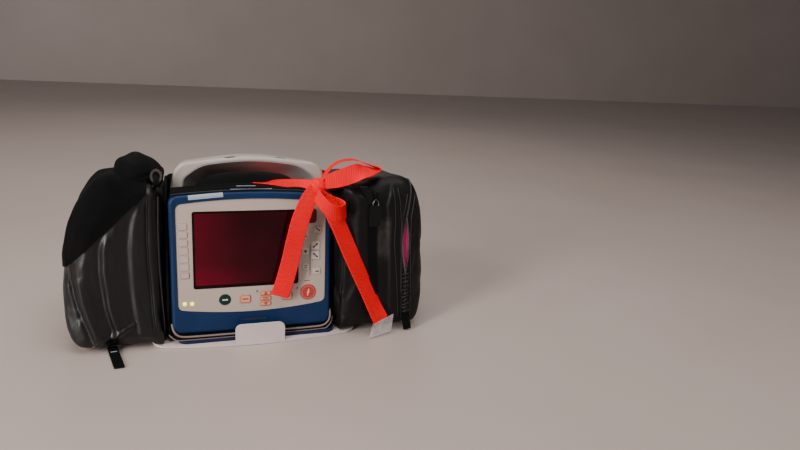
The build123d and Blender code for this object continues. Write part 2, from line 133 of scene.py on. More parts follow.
class Finish:
    """A material. Its shader's sockets are set by name and node() makes every other node."""

    def __init__(self, name, **sockets):
        self.material = bpy.data.materials.new(name)
        self.material.use_nodes = True
        self.tree = self.material.node_tree
        self.shader = self.tree.nodes["Principled BSDF"]
        self.set(**sockets)
        finishes[name] = self

    def feed(self, socket, value):
        if isinstance(value, Wire):
            self.tree.links.new(value.socket, socket)
        elif socket.type == "RGBA":
            socket.default_value = (*value, 1.0)
        else:
            socket.default_value = value

    def set(self, **sockets):
        for name, value in sockets.items():
            self.feed(self.shader.inputs[name.replace("_", " ")], value)

    def node(self, kind, settings, inputs, output=0):
        made = self.tree.nodes.new("ShaderNode" + kind)
        for name, value in settings.items():
            setattr(made, name, value)
        for name, value in inputs.items():
            self.feed(made.inputs[name], value)
        return Wire(self, made.outputs[output])

    def place(self, scale=(1, 1, 1), source="Object"):
        """Coordinates in metres times scale, from the object or from its UV map."""
        start = self.node("TexCoord", {}, {}, source)
        return self.node("Mapping", {}, {"Vector": start, "Scale": scale})

    def axis(self, place, name):
        return self.node("SeparateXYZ", {}, {"Vector": place}, name)

    def noise(self, place, scale, detail=3.0):
        inputs = {"Vector": place, "Scale": scale, "Detail": detail, "Roughness": 0.55}
        return self.node("TexNoise", {}, inputs)

    def cells(self, place, scale):
        inputs = {"Vector": place, "Scale": scale}
        return self.node("TexVoronoi", {"feature": "SMOOTH_F1"}, inputs, "Distance")

    def wave(self, value):
        """Sine of a value, from 0 to 1."""
        return self.node("Math", {"operation": "SINE"}, {0: value}) * 0.5 + 0.5

    def ramp(self, value, *stops):
        """The value sent through a straight step between two stops of (position, grey)."""
        made = self.node("ValToRGB", {}, {"Fac": value})
        for element, (position, grey) in zip(made.socket.node.color_ramp.elements, stops):
            element.position = position
            element.color = (grey, grey, grey, 1.0)
        return made

    def between(self, axis, low, high):
        """0 below low and 1 above high along an axis of the object, in metres."""
        inputs = {"Value": self.axis(self.place(), axis), 1: low, 2: high, 3: 0.0, 4: 1.0}
        return self.node("MapRange", {"interpolation_type": "SMOOTHSTEP"}, inputs)

    def band(self, axis, start, full, fade, end):
        """1 from full to fade along an axis, easing to 0 at start and at end."""
        return self.between(axis, start, full) * (1 - self.between(axis, fade, end))

    def mix(self, share, first, second):
        """Colour from first to second as share goes from 0 to 1."""
        return self.node("Mix", {"data_type": "RGBA"}, {0: share, 6: first, 7: second}, 2)

    def bump(self, height, distance, strength=1.0):
        inputs = {"Height": height, "Distance": distance, "Strength": strength}
        self.set(Normal=self.node("Bump", {}, inputs))


# Pitch of woven threads in metres
THREAD = 0.0011


def moulded(name, colour, wear_and_painted_sheen, roughness=0.42, grain=1400.0, depth=0.00006, coat=0.0):
    """Moulded plastic: fine grain, faint blotches and soft grime."""
    finish = Finish(name, Specular_IOR_Level=0.22, Coat_Roughness=0.2)
    place = finish.place()
    blotch = finish.ramp(finish.noise(place, 22.0), (0.35, 0.0), (0.75, 1.0))
    speck = finish.ramp(finish.noise(place, 260.0, 5.0), (0.45, 0.0), (0.8, 1.0))
    share = blotch * 0.55 + speck * 0.35
    finish.set(Base_Color=finish.mix(share, colour, wear_and_painted_sheen))
    finish.set(Roughness=blotch * 0.12 + roughness)
    finish.set(Coat_Weight=coat)
    finish.bump(finish.noise(place, grain, 2.0) + speck * 0.4, depth)


def woven(name, colour, lit, pitch=THREAD, roughness=0.78, depth=0.0003):
    """Plain-weave nylon: threads over and under in two directions, with lighter spots of wear."""
    finish = Finish(name, Sheen_Weight=0.01, Sheen_Roughness=0.45, Specular_IOR_Level=0.06)
    place = finish.place((2 * pi / pitch,) * 3)
    across = finish.wave(finish.axis(place, "X") + finish.axis(place, "Y"))
    along = finish.wave(finish.axis(place, "Z") + finish.axis(place, "Y") * 0.35)
    check = across * along + (1 - across) * (1 - along)
    blotch = finish.ramp(finish.noise(finish.place(), 14.0), (0.35, 0.0), (0.8, 1.0))
    finish.set(Base_Color=finish.mix(check * 0.55 + blotch * 0.4, colour, lit))
    finish.set(Roughness=roughness - blotch * 0.12)
    finish.bump(check + blotch * 0.6, depth)


def coated(name, colour, lit, roughness, gloss, wear_and_painted_sheen=None):
    """Coated fabric with a fine leather grain and slack creases."""
    finish = Finish(name, Specular_IOR_Level=gloss, Coat_Weight=0.02, Coat_Roughness=0.25)
    place = finish.place()
    grain = finish.cells(place, 900.0)
    crease = finish.noise(finish.place((1.0, 1.0, 0.45)), 38.0, 4.0)
    blotch = finish.ramp(finish.noise(place, 16.0), (0.3, 0.0), (0.8, 1.0))
    base = finish.mix(blotch * 0.7 + grain * 0.3, colour, lit)
    if wear_and_painted_sheen:
        # A lighter mottled patch on the right pocket's front: painted sheen
        across = finish.band("X", 0.1575, 0.1635, 0.1755, 0.183)
        height = finish.band("Z", 0.098, 0.132, 0.163, 0.176)
        front = 1 - finish.between("Y", -0.095, -0.085)
        patchy = finish.ramp(finish.noise(place, 85.0, 4.0), (0.32, 0.15), (0.68, 1.0))
        base = finish.mix(across * height * front * patchy, base, wear_and_painted_sheen)
    finish.set(Base_Color=base)
    finish.set(Roughness=roughness + blotch * 0.16 + grain * 0.08)
    finish.bump(grain * 0.35 + crease * 0.9, 0.0007, 0.5)


def webbing(name, colour, lit, rib):
    """Flat webbing with ribs across it, along its own UV map in metres."""
    finish = Finish(name, Specular_IOR_Level=0.04)
    place = finish.place(source="UV")
    length = finish.axis(place, "Y")
    width = finish.axis(place, "X")
    ribs = finish.wave(length * (2 * pi / rib))
    threads = finish.wave(width * (2 * pi / THREAD) + ribs * 2.0)
    blotch = finish.noise(finish.place(), 30.0, 4.0)
    height = ribs * 0.8 + threads * 0.35
    finish.set(Base_Color=finish.mix(height * 0.6 + blotch * 0.45, colour, lit))
    finish.set(Roughness=threads * 0.12 + 0.6)
    finish.bump(height, 0.00045)


def plain(name, colour, roughness, metallic=0.0, speckle=0.08, **sockets):
    """Small hard piece with a little colour and gloss variation."""
    finish = Finish(name, Metallic=metallic, **sockets)
    blotch = finish.noise(finish.place(), 120.0, 4.0)
    dark = [share * (1 - 3 * speckle) for share in colour]
    finish.set(Base_Color=finish.mix(blotch, dark, colour))
    finish.set(Roughness=blotch * 0.15 + (roughness - 0.07))
    finish.bump(blotch, 0.00008)


def display_glass():
    """Switched-off display: black border, and a dark red painted reflection in its colour towards its left
    edge and its foot.
    """
    glass = Finish("display_glass", Coat_Weight=0.06, Coat_Roughness=0.04, Specular_IOR_Level=0.12)
    low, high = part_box("display_window")
    place = glass.place()
    left = 1 - glass.between("X", low.x - 0.01, low.x + 0.075)
    foot = 1 - glass.between("Z", low.z + 0.006, low.z + 0.04)
    foot = foot * (1 - glass.between("X", low.x + 0.03, high.x - 0.02))
    across = glass.band("X", low.x + 0.0022, low.x + 0.0034, high.x - 0.0040, high.x - 0.0028)
    height = glass.band("Z", low.z + 0.0040, low.z + 0.0054, high.z - 0.0034, high.z - 0.0022)
    cloud = glass.noise(place, 16.0)
    # Painted reflection: the glass's colour turns dark red towards its left edge and its foot, in soft
    # clouds
    lamp_glow_and_painted_reflection = (left * 0.53 + foot * 0.38 + cloud * 0.28) * across * height
    glass.set(Base_Color=glass.mix(lamp_glow_and_painted_reflection, (0.007, 0.001, 0.0016), (0.115, 0.0018, 0.012)))
    glass.set(Roughness=glass.noise(place, 60.0) * 0.05 + 0.06)


def lit_lamp():
    lamp = Finish("lamp_lit", Roughness=0.3, Emission_Strength=2.0)
    lamp_glow_and_painted_reflection = lamp.mix(lamp.noise(lamp.place(), 300.0), (0.50, 0.78, 0.02), (0.86, 0.92, 0.10))
    lamp.set(Base_Color=lamp_glow_and_painted_reflection, Emission_Color=lamp_glow_and_painted_reflection)


def clear_tape():
    """Milky tape, denser in its wrinkles."""
    tape = Finish("tape_clear", IOR=1.45)
    wrinkle = tape.noise(tape.place(), 90.0, 4.0)
    tape.set(Base_Color=tape.mix(wrinkle, (0.58, 0.47, 0.49), (0.84, 0.78, 0.79)))
    tape.set(Roughness=wrinkle * 0.2 + 0.12)
    tape.set(Alpha=wrinkle * 0.45 + 0.05)
    tape.bump(wrinkle, 0.0009)


def make_finishes():
    moulded("panel_grey", (0.45, 0.365, 0.315), (0.40, 0.325, 0.285))
    moulded("bumper_blue", (0.002, 0.017, 0.064), (0.004, 0.026, 0.086), 0.45, 900.0, coat=0.06)
    moulded("housing_grey", (0.42, 0.38, 0.35), (0.34, 0.31, 0.29))
    moulded("handle_grey", (0.44, 0.385, 0.35), (0.36, 0.315, 0.285), 0.4)
    moulded("lining_dark", (0.23, 0.215, 0.21), (0.34, 0.31, 0.30), 0.3, 700.0, 0.0001, 0.3)
    moulded("battery_dark", (0.03, 0.031, 0.034), (0.05, 0.05, 0.052), 0.5)
    woven("nylon_black", (0.002, 0.002, 0.0021), (0.0055, 0.0055, 0.0058))
    woven("padding_black", (0.0022, 0.0022, 0.0024), (0.006, 0.006, 0.0063), 0.0016)
    # The back wall's nylon is lighter than the other black nylon: painted fill light on the back, which the
    # lamps leave dark
    woven("nylon_back", (0.0045, 0.0045, 0.0047), (0.0105, 0.0105, 0.011), 0.0014)
    woven("pocket_inner", (0.022, 0.022, 0.024), (0.045, 0.045, 0.048), 0.0022)
    coated("coated_black", (0.002, 0.0022, 0.0026), (0.0055, 0.0059, 0.0068), 0.31, 0.4)
    # Colour of the painted sheen patch on the right pocket's front
    wear_and_painted_sheen = (0.042, 0.035, 0.033)
    coated("coated_side", (0.0014, 0.0013, 0.0013), (0.0036, 0.0033, 0.0032), 0.40, 0.22, wear_and_painted_sheen)
    webbing("strap_red", (0.78, 0.0, 0.006), (1.0, 0.003, 0.018), 0.0024)
    webbing("web_black", (0.002, 0.002, 0.0022), (0.008, 0.008, 0.0085), 0.0013)
    plain("binding_black", (0.011, 0.0105, 0.0105), 0.42, Specular_IOR_Level=0.4)
    moulded("tray_white", (0.60, 0.50, 0.49), (0.50, 0.42, 0.41), 0.5, 500.0, 0.00008)
    woven("pad_blue", (0.012, 0.014, 0.05), (0.02, 0.024, 0.08), 0.002, 0.85, 0.0004)
    plain("plastic_black", (0.004, 0.004, 0.0042), 0.45, Specular_IOR_Level=0.2)
    moulded("key_grey", (0.46, 0.375, 0.325), (0.41, 0.335, 0.295), 0.5)
    moulded("key_pale", (0.53, 0.46, 0.415), (0.46, 0.40, 0.36), 0.45)
    moulded("key_maroon", (0.085, 0.012, 0.014), (0.13, 0.02, 0.02), 0.4)
    moulded("key_green", (0.003, 0.022, 0.017), (0.006, 0.032, 0.025), 0.4)
    moulded("key_red", (0.48, 0.03, 0.03), (0.40, 0.04, 0.035), 0.4)
    moulded("key_orange", (0.62, 0.33, 0.21), (0.56, 0.30, 0.20), 0.45)
    plain("ink_dark", (0.03, 0.028, 0.028), 0.6)
    plain("ink_red", (0.55, 0.03, 0.025), 0.55)
    plain("ink_brown", (0.30, 0.16, 0.11), 0.6)
    plain("halo_rose", (0.52, 0.17, 0.15), 0.5)
    plain("ink_pale", (0.66, 0.62, 0.56), 0.55)
    plain("label_pale", (0.34, 0.40, 0.43), 0.35)
    plain("steel", (0.16, 0.16, 0.165), 0.3, 1.0, 0.04)
    plain("zip_teeth", (0.05, 0.05, 0.052), 0.25, 0.0, 0.1, Coat_Weight=0.4)
    woven("lining_pink", (0.42, 0.02, 0.11), (0.62, 0.06, 0.2), 0.0012, 0.6)
    plain("zip_coil", (0.014, 0.0135, 0.014), 0.55, 0.0, 0.1, Specular_IOR_Level=0.25)
    plain("piping_beige", (0.21, 0.165, 0.145), 0.6, Specular_IOR_Level=0.2)
    display_glass()
    lit_lamp()
    clear_tape()


def paint(piece, finish):
    """The piece gets one finish on all its faces."""
    piece.data.materials.clear()
    piece.data.materials.append(finishes[finish].material)


# Modelling tools

def deselect():
    if bpy.context.object and bpy.context.object.mode != "OBJECT":
        bpy.ops.object.mode_set(mode="OBJECT")
    bpy.ops.object.select_all(action="DESELECT")


def activate(piece):
    deselect()
    piece.select_set(True)
    bpy.context.view_layer.objects.active = piece


def named(name):
    piece = bpy.context.object
    piece.name = name
    piece.data.name = name
    return piece


def edit(piece):
    """Enter edit mode with the whole piece selected."""
    activate(piece)
    bpy.ops.object.mode_set(mode="EDIT")
    bpy.ops.mesh.select_all(action="SELECT")


def done(piece):
    """Leave edit mode and settle the piece at the origin."""
    activate(piece)
    bpy.ops.object.transform_apply()
    return piece


def modify(piece, kind, **settings):
    activate(piece)
    modifier = piece.modifiers.new(kind.lower(), kind)
    for name, value in settings.items():
        setattr(modifier, name, value)
    bpy.ops.object.modifier_apply(modifier=modifier.name)


def smooth(piece, angle=60):
    activate(piece)
    bpy.ops.object.shade_smooth_by_angle(angle=radians(angle))


def finish_piece(piece, finish, slot, *replaced, body="root"):
    """Paint a finished piece, hide the nodes that it stands for and put it on its body."""
    paint(piece, finish)
    if replaced:
        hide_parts(*replaced)
    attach(piece, body)


def join(name, pieces):
    deselect()
    for piece in pieces:
        piece.select_set(True)
    bpy.context.view_layer.objects.active = pieces[0]
    bpy.ops.object.join()
    return named(name)


def tree_of(piece):
    """Ray caster on a piece, in the frame's own coordinates."""
    return BVHTree.FromObject(piece, bpy.context.evaluated_depsgraph_get())


def sheet_from(name, points, columns):
    """A flat piece from rows of points, each row with one point more than it has columns."""
    faces = []
    for row in range(len(points) // (columns + 1) - 1):
        for column in range(columns):
            low = row * (columns + 1) + column
            faces.append((low, low + 1, low + columns + 2, low + columns + 1))
    data = bpy.data.meshes.new(name)
    data.from_pydata(points, [], faces)
    return new_object(name, data)


def map_flat(piece):
    """A UV map in metres, X and Z as seen from the front."""
    layer = piece.data.uv_layers.active or piece.data.uv_layers.new(name="length")
    for loop in piece.data.loops:
        place = piece.data.vertices[loop.vertex_index].co
        layer.data[loop.index].uv = (place.x, place.z)


def duplicate(piece, name):
    """A copy with its own mesh."""
    made = piece.copy()
    made.data = piece.data.copy()
    made.name = name
    bpy.context.scene.collection.objects.link(made)
    return made


def node_copy(node, name):
    """A merged copy of a CAD node's mesh, free of its body."""
    made = new_object(name, nodes[node].data.copy())
    made.data.materials.clear()
    edit(made)
    bpy.ops.mesh.remove_doubles(threshold=0.00002)
    return done(made)


def block(name, place, size, turn=(0, 0, 0)):
    """A box from its centre, its size in mm and its turn in degrees."""
    deselect()
    bpy.ops.mesh.primitive_cube_add(size=1, location=place, rotation=[radians(angle) for angle in turn])
    piece = named(name)
    piece.scale = Vector(size) * MM
    return done(piece)


def ball(name, place, size, turn, segments, rings):
    """A flattened ball from its centre, its half sizes in mm and its turn in radians."""
    deselect()
    bpy.ops.mesh.primitive_uv_sphere_add(
        segments=segments, ring_count=rings, radius=1, location=place, rotation=turn
    )
    piece = named(name)
    piece.scale = Vector(size) * MM
    return done(piece)


def divide(piece):
    modify(piece, "SUBSURF", levels=1, render_levels=1)


def bisect(piece, point, normal, keep_inner):
    """Cut the piece at a plane; the part on the side that normal points to goes if keep_inner."""
    edit(piece)
    bpy.ops.mesh.bisect(plane_co=point, plane_no=normal, clear_outer=keep_inner, clear_inner=not keep_inner)
    done(piece)


def spline_points(points, per_span, closed=False):
    """Smooth points through the given ones."""
    count = len(points)
    made = []
    for span in range(count if closed else count - 1):
        steps = (span - 1, span, span + 1, span + 2)
        if closed:
            a, b, c, d = (points[step % count] for step in steps)
        else:
            a, b, c, d = (points[min(max(step, 0), count - 1)] for step in steps)
        for step in range(per_span):
            t = step / per_span
            square = (2 * a - 5 * b + 4 * c - d) * t**2
            cube = (3 * b - a - 3 * c + d) * t**3
            made.append(0.5 * ((2 * b) + (c - a) * t + square + cube))
    if not closed:
        made.append(points[-1].copy())
    return made


def path(*places):
    """Points from places in mm."""
    return [at(*place) for place in places]


def tube(name, points, radius, closed=False, sides=10):
    """A round trim along a smooth line."""
    curve = bpy.data.curves.new(name, "CURVE")
    curve.dimensions = "3D"
    curve.bevel_depth = radius * MM
    curve.bevel_resolution = sides // 4
    curve.use_fill_caps = True
    spline = curve.splines.new("POLY")
    line = spline_points(points, 6, closed)
    spline.points.add(len(line) - 1)
    for place, point in zip(spline.points, line):
        place.co = (*point, 1.0)
    spline.use_cyclic_u = closed
    activate(new_object(name, curve))
    bpy.ops.object.convert(target="MESH")
    piece = named(name)
    smooth(piece)
    return piece


# Key marks and labels: thin plates on the face

def put_on_face(piece, u, v, w, turn=0.0):
    """Stand a piece on the monitor's face, turned in it by some degrees."""
    place = Matrix.Translation(Vector((u, v, w)) * MM)
    piece.matrix_world = FACE_MATRIX @ place @ Matrix.Rotation(radians(turn), 4, "Z")


def raise_plate(piece, u, v, low, high, rim, turn=0.0):
    """Make the flat outline in edit mode a plate on the face, or only its rim."""
    if rim:
        bpy.ops.mesh.select_all(action="SELECT")
        bpy.ops.mesh.inset(thickness=rim * MM)
        bpy.ops.mesh.delete(type="FACE")
        bpy.ops.mesh.select_all(action="SELECT")
    bpy.ops.mesh.extrude_region_move(TRANSFORM_OT_translate={"value": (0, 0, (high - low) * MM)})
    bpy.ops.mesh.select_all(action="SELECT")
    bpy.ops.mesh.normals_make_consistent(inside=False)
    bpy.ops.object.mode_set(mode="OBJECT")
    put_on_face(piece, u, v, low, turn)
    return done(piece)


def face_plate(u, v, width, height, corner, turn, low, high, rim=0.0):
    """A thin plate on the face with round corners, or only its rim."""
    deselect()
    bpy.ops.mesh.primitive_plane_add(size=1)
    piece = bpy.context.object
    piece.scale = (width * MM, height * MM, 1)
    edit(done(piece))
    bpy.ops.mesh.bevel(offset=corner * MM, segments=4, affect="VERTICES")
    return raise_plate(piece, u, v, low, high, rim, turn)


# Soft goods tools

def smooth_between(low, high, value):
    share = min(max((value - low) / (high - low), 0.0), 1.0)
    return share * share * (3 - 2 * share)


def along_line(line, z):
    """x at height z on a line given as (z, x) pairs from its top to its foot."""
    if z >= line[0][0]:
        return line[0][1]
    for (z0, x0), (z1, x1) in zip(line, line[1:]):
        if z >= z1:
            return x0 + (x1 - x0) * (z0 - z) / (z0 - z1)
    return line[-1][1]


def profile(x, stops):
    """Height at x of a relief that eases from one (x, height) stop to the next."""
    if x <= stops[0][0]:
        return stops[0][1]
    for (x0, h0), (x1, h1) in zip(stops, stops[1:]):
        if x < x1:
            return h0 + (h1 - h0) * smooth_between(x0, x1, x)
    return stops[-1][1]


def pouch(name, outline, front, back, rounding, top):
    """Closed form of a pocket, drawn in round its front and back, with a top that sags back."""
    sag, sag_from_y = 0.15, -80
    line = spline_points([Vector((x, z)) for x, z in outline], 5, closed=True)
    count = len(line)
    area = sum(line[i - 1].x * line[i].y - line[i].x * line[i - 1].y for i in range(count))
    turn = 1 if area > 0 else -1
    inward = []
    for i in range(count):
        along = (line[(i + 1) % count] - line[i - 1]) * turn
        inward.append(Vector((-along.y, along.x)).normalized())
    quarter = [pi / 2 * step / 6 for step in range(7)]
    stations = [(front + rounding * (1 - sin(a)), rounding * (1 - cos(a))) for a in reversed(quarter)]
    stations += [(back - rounding * (1 - sin(a)), rounding * (1 - cos(a))) for a in quarter]
    mesh = bmesh.new()
    rings = []
    for y, inset in stations:
        ring = []
        for point, into in zip(line, inward):
            place = point + into * inset * (1 - 0.5 * max(into.y, 0))
            height = min(place.y, top - sag * (y - sag_from_y))
            ring.append(mesh.verts.new(at(place.x, y, height)))
        rings.append(ring)
    for ring, further in zip(rings, rings[1:]):
        for i in range(count):
            j = (i + 1) % count
            mesh.faces.new((ring[i], ring[j], further[j], further[i]))
    mesh.faces.new(rings[0])
    mesh.faces.new(rings[-1])
    bmesh.ops.recalc_face_normals(mesh, faces=mesh.faces)
    data = bpy.data.meshes.new(name)
    mesh.to_mesh(data)
    mesh.free()
    return new_object(name, data)


def puff(piece, pressure, reach):
    """Inflate a closed piece with a cloth simulation; no point moves further than reach mm."""
    activate(piece)
    frames = 16
    cloth = piece.modifiers.new("cloth", "CLOTH")
    cloth.settings.quality = 4
    cloth.settings.use_pressure = True
    cloth.settings.uniform_pressure_force = pressure
    cloth.settings.effector_weights.gravity = 0
    cloth.collision_settings.use_collision = False
    cloth.point_cache.frame_end = frames
    for step in range(1, frames + 1):
        bpy.context.scene.frame_set(step)
    swollen = piece.evaluated_get(bpy.context.evaluated_depsgraph_get()).data
    places = []
    for vertex, moved in zip(piece.data.vertices, swollen.vertices):
        shift = moved.co - vertex.co
        if shift.length > reach * MM:
            shift = shift.normalized() * reach * MM
        places.append(vertex.co + shift)
    piece.modifiers.remove(cloth)
    bpy.context.scene.frame_set(1)
    for vertex, place in zip(piece.data.vertices, places):
        vertex.co = place


def sculpt(piece, move):
    """Shift each vertex by what move(place in mm, normal) gives, in mm."""
    shifts = []
    for vertex in piece.data.vertices:
        place = vertex.co / MM
        place.x -= MONITOR_X
        shifts.append(move(place, vertex.normal))
    for vertex, shift in zip(piece.data.vertices, shifts):
        vertex.co += shift * MM
    piece.data.update()


def settle(piece, voxel, rounds):
    """Even quads, softened."""
    modify(piece, "REMESH", mode="VOXEL", voxel_size=voxel * MM, use_smooth_shade=True)
    modify(piece, "SMOOTH", factor=0.5, iterations=rounds)


def ribbon(name, stations, width, thickness, finish, slot, *replaced, held="hung", rests_on=()):
    """Flat webbing; a station is x, y, z, the direction of the width and the share of it."""
    columns = 6
    centres = spline_points([at(*station[:3]) for station in stations], 8)
    sides = spline_points([Vector(station[3:6]).normalized() * station[6] for station in stations], 8)
    travelled = [0.0]
    for here, further in zip(centres, centres[1:]):
        travelled.append(travelled[-1] + (further - here).length)
    points = []
    for centre, side in zip(centres, sides):
        for column in range(columns + 1):
            points.append(centre + side * (column / columns - 0.5) * width * MM)
    piece = sheet_from(name, points, columns)
    layer = piece.data.uv_layers.new(name="length")
    for loop in piece.data.loops:
        row, column = divmod(loop.vertex_index, columns + 1)
        layer.data[loop.index].uv = (column / columns * width * MM, travelled[row])
    divide(piece)
    modify(piece, "SOLIDIFY", thickness=thickness * MM, offset=0.0)
    edges = {"limit_method": "ANGLE", "angle_limit": radians(60)}
    modify(piece, "BEVEL", width=0.25 * thickness * MM, segments=2, **edges)
    smooth(piece, 50)
    finish_piece(piece, finish, slot, *replaced)
    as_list(rests_on)


def longest_rim(piece):
    """Ordered points of the longest open edge of the piece."""
    uses = {}
    for polygon in piece.data.polygons:
        for edge_key in polygon.edge_keys:
            uses[edge_key] = uses.get(edge_key, 0) + 1
    neighbours = {}
    for (first, second), times in uses.items():
        if times == 1:
            neighbours.setdefault(first, []).append(second)
            neighbours.setdefault(second, []).append(first)
    longest = []
    while neighbours:
        rim = []
        onward = [next(iter(neighbours))]
        while onward:
            rim.append(onward[0])
            onward = [index for index in neighbours[rim[-1]] if index not in rim and index in neighbours]
        for index in rim:
            del neighbours[index]
        longest = max(longest, rim, key=len)
    return [piece.data.vertices[index].co.copy() for index in longest]


def evenly(points, pitch):
    """Points every pitch metres round a loop, each with the direction of travel."""
    made = []
    left = 0.0
    for here, further in zip(points, points[1:] + points[:1]):
        span = (further - here).length
        if span < 1e-9:
            continue
        direction = (further - here) / span
        while left < span:
            made.append((here + direction * left, direction))
            left += pitch
        left -= span
    return made


# Room

def make_room():
    deselect()
    bpy.ops.mesh.primitive_plane_add(size=20, location=(0, 0.0, -0.0006))
    floor = named("floor")
    surface = Finish("floor_pale", Roughness=0.45)
    place = surface.place()
    patches = surface.noise(place, 2.5)
    surface.set(Base_Color=surface.mix(patches, (0.41, 0.335, 0.30), (0.49, 0.41, 0.375)))
    floor.data.materials.append(surface.material)
    bpy.ops.mesh.primitive_plane_add(size=20, location=(0, 4.0, 3.0), rotation=(pi / 2, 0, 0))
    wall = named("backdrop")
    wall.data.materials.append(surface.material)
    world = bpy.data.worlds.new("room")
    world.use_nodes = True
    world.node_tree.nodes["Background"].inputs["Color"].default_value = (0.86, 0.88, 0.92, 1.0)
    world.node_tree.nodes["Background"].inputs["Strength"].default_value = 0.16
    bpy.context.scene.world = world
    # Name, place, size, power in watts, tint
    for name, place, size, power, tint in (
        ("key", (-1.75, -1.3, 0.95), (0.55, 1.7), 67, (1.0, 0.96, 0.92)),
        ("top", (0.15, -0.55, 2.1), (1.5, 1.5), 31, (1.0, 0.93, 0.89)),
        ("fill", (1.5, -1.6, 0.9), (1.6, 1.6), 6, (0.92, 0.96, 1.0)),
        ("rim", (0.2, 1.6, 1.6), (1.4, 1.4), 9, (1.0, 0.98, 0.95)),
    ):
        light = bpy.data.lights.new(name, "AREA")
        light.shape = "RECTANGLE"
        light.size = size[0]
        light.size_y = size[1]
        light.energy = power
        light.color = tint
        lamp = new_object(name, light)
        lamp.location = place
        lamp.rotation_mode = "QUATERNION"
        lamp.rotation_quaternion = (Vector((0, 0, 0.1)) - Vector(place)).to_track_quat("-Z", "Y")


# Monitor, its rigid nodes keep their form

def paint_monitor():
    for node, finish in (
        ("bumper_frame", "bumper_blue"),
        ("front_panel", "panel_grey"),
        ("display_window", "display_glass"),
        ("display_chassis", "housing_grey"),
        ("monitor_housing", "housing_grey"),
        ("battery_pack", "battery_dark"),
        ("handle_shell", "handle_grey"),
        ("handle_grip", "lining_dark"),
        ("softkeys", "key_grey"),
        ("side_keys", "key_pale"),
        ("alarm_key", "key_maroon"),
        ("power_key", "key_green"),
        ("shock_key", "key_red"),
        ("back_key", "key_orange"),
        ("home_key", "key_orange"),
        ("nav_keys", "key_orange"),
        ("status_leds", "lamp_lit"),
        ("mounting_tray", "tray_white"),
        ("tray_pad", "pad_blue"),
        ("strap_buckle", "steel"),
        ("right_pocket_clip", "plastic_black"),
    ):
        for place in nodes[node].material_slots:
            place.material = finishes[finish].material


# Pockets, their fronts: x, z
LEFT_OUTLINE = [
    (-114.5, 5), (-125, 2.5), (-165, 2), (-205, 2.5), (-223, 8), (-231, 26), (-233.5, 60), (-232.5, 98),
    (-226.5, 142), (-215, 182), (-199, 208), (-181, 227), (-166, 226), (-140, 220), (-121, 216),
    (-114.5, 200), (-113.5, 100),
]
RIGHT_OUTLINE = [
    (115, 8), (126, 5.5), (170, 5), (222, 5.5), (238, 12), (243.5, 35), (244.5, 70), (243, 105),
    (237, 165), (227, 205), (211, 225), (180, 227), (140, 222), (119, 219), (114.5, 200), (114, 100),
]
# Ribs, folds and seams down the fronts: z, x
LEFT_LINES = {
    "outer rib": [(114, -224), (107, -223), (96, -222), (78, -219), (60, -215), (41, -209), (25, -204)],
    "middle rib": [(156, -186), (136, -189), (110, -190), (83, -188), (62, -186), (43, -182), (33, -179)],
    "panel end": [(169, -158), (133, -161), (88, -161), (65, -159), (51, -156), (30, -152)],
    "inner edge": [
        (214, -134), (180, -147), (165, -150), (139, -153), (108, -153), (76, -152), (50, -150), (20, -146),
    ],
    "first gusset": [(201, -131), (182, -132), (151, -133), (120, -133), (86, -131), (51, -130), (22, -128)],
    "second gusset": [(201, -119), (164, -119), (119, -119), (85, -118), (50, -118)],
}
RIGHT_LINES = {
    "fold": [(217, 184), (190, 178), (159, 181), (100, 186), (20, 190)],
    "first seam": [(214, 187), (190, 191), (164, 193), (134, 193), (84, 199), (20, 206)],
    "second seam": [(214, 194), (190, 199), (163, 202), (124, 204), (60, 207)],
    "gusset": [(205, 124), (150, 122), (60, 120)],
}


# Slanting edge of the left pocket's flap: a point on it, its slope, the length of (1, slope)
FLAP_X = -230
FLAP_Z = 113
FLAP_SLOPE = 1.03
FLAP_LENGTH = 1.436


def flap_side(place):
    """Distance below the flap's edge, negative beneath the flap."""
    return (place.x - FLAP_X - (place.z - FLAP_Z) * FLAP_SLOPE) / FLAP_LENGTH


def left_relief(place, normal):
    z = place.z
    lines = {name: along_line(line, z) for name, line in LEFT_LINES.items()}
    rib, middle, end = lines["outer rib"], lines["middle rib"], lines["panel end"]
    inner, first, second = lines["inner edge"], lines["first gusset"], lines["second gusset"]
    stops = [
        (rib - 7, 0.2), (rib - 1.5, -2.0), (rib + 7, 3.4), (rib + 13, 2.8), (middle - 7, 0.6),
        (middle - 1.5, -1.4), (middle + 7, 4.4), (middle + 14, 3.2), (end - 4, 0.8), (end + 3, -1.6),
        (inner - 4, -1.6), (inner + 3, 1.2), (first - 4, 0.8), (first, -1.2), (first + 4, 1.0),
        (second - 4, 0.4), (second, -1.2), (second + 4, 0.2),
    ]
    lift = profile(place.x, stops)
    faded = smooth_between(4, 30, z) * smooth_between(232, 205, z)
    # A slanting crease of 51 mm that rises from the outer foot
    from_foot = Vector((place.x + 198, z - 11))
    rising = Vector((44, 25)).normalized()
    reach = min(max(from_foot.dot(rising), 0), 51)
    crease = 2.6 * smooth_between(5.0, 0.6, (from_foot - rising * reach).length)
    facing = smooth_between(0.35, 0.85, -normal.y)
    covered = smooth_between(-3, 13, flap_side(place))
    sag = 5.0 * smooth_between(95, 12, z) * smooth_between(-40, -80, place.y)
    return Vector((0, -1, 0)) * ((lift * faded * covered + crease) * facing + sag)


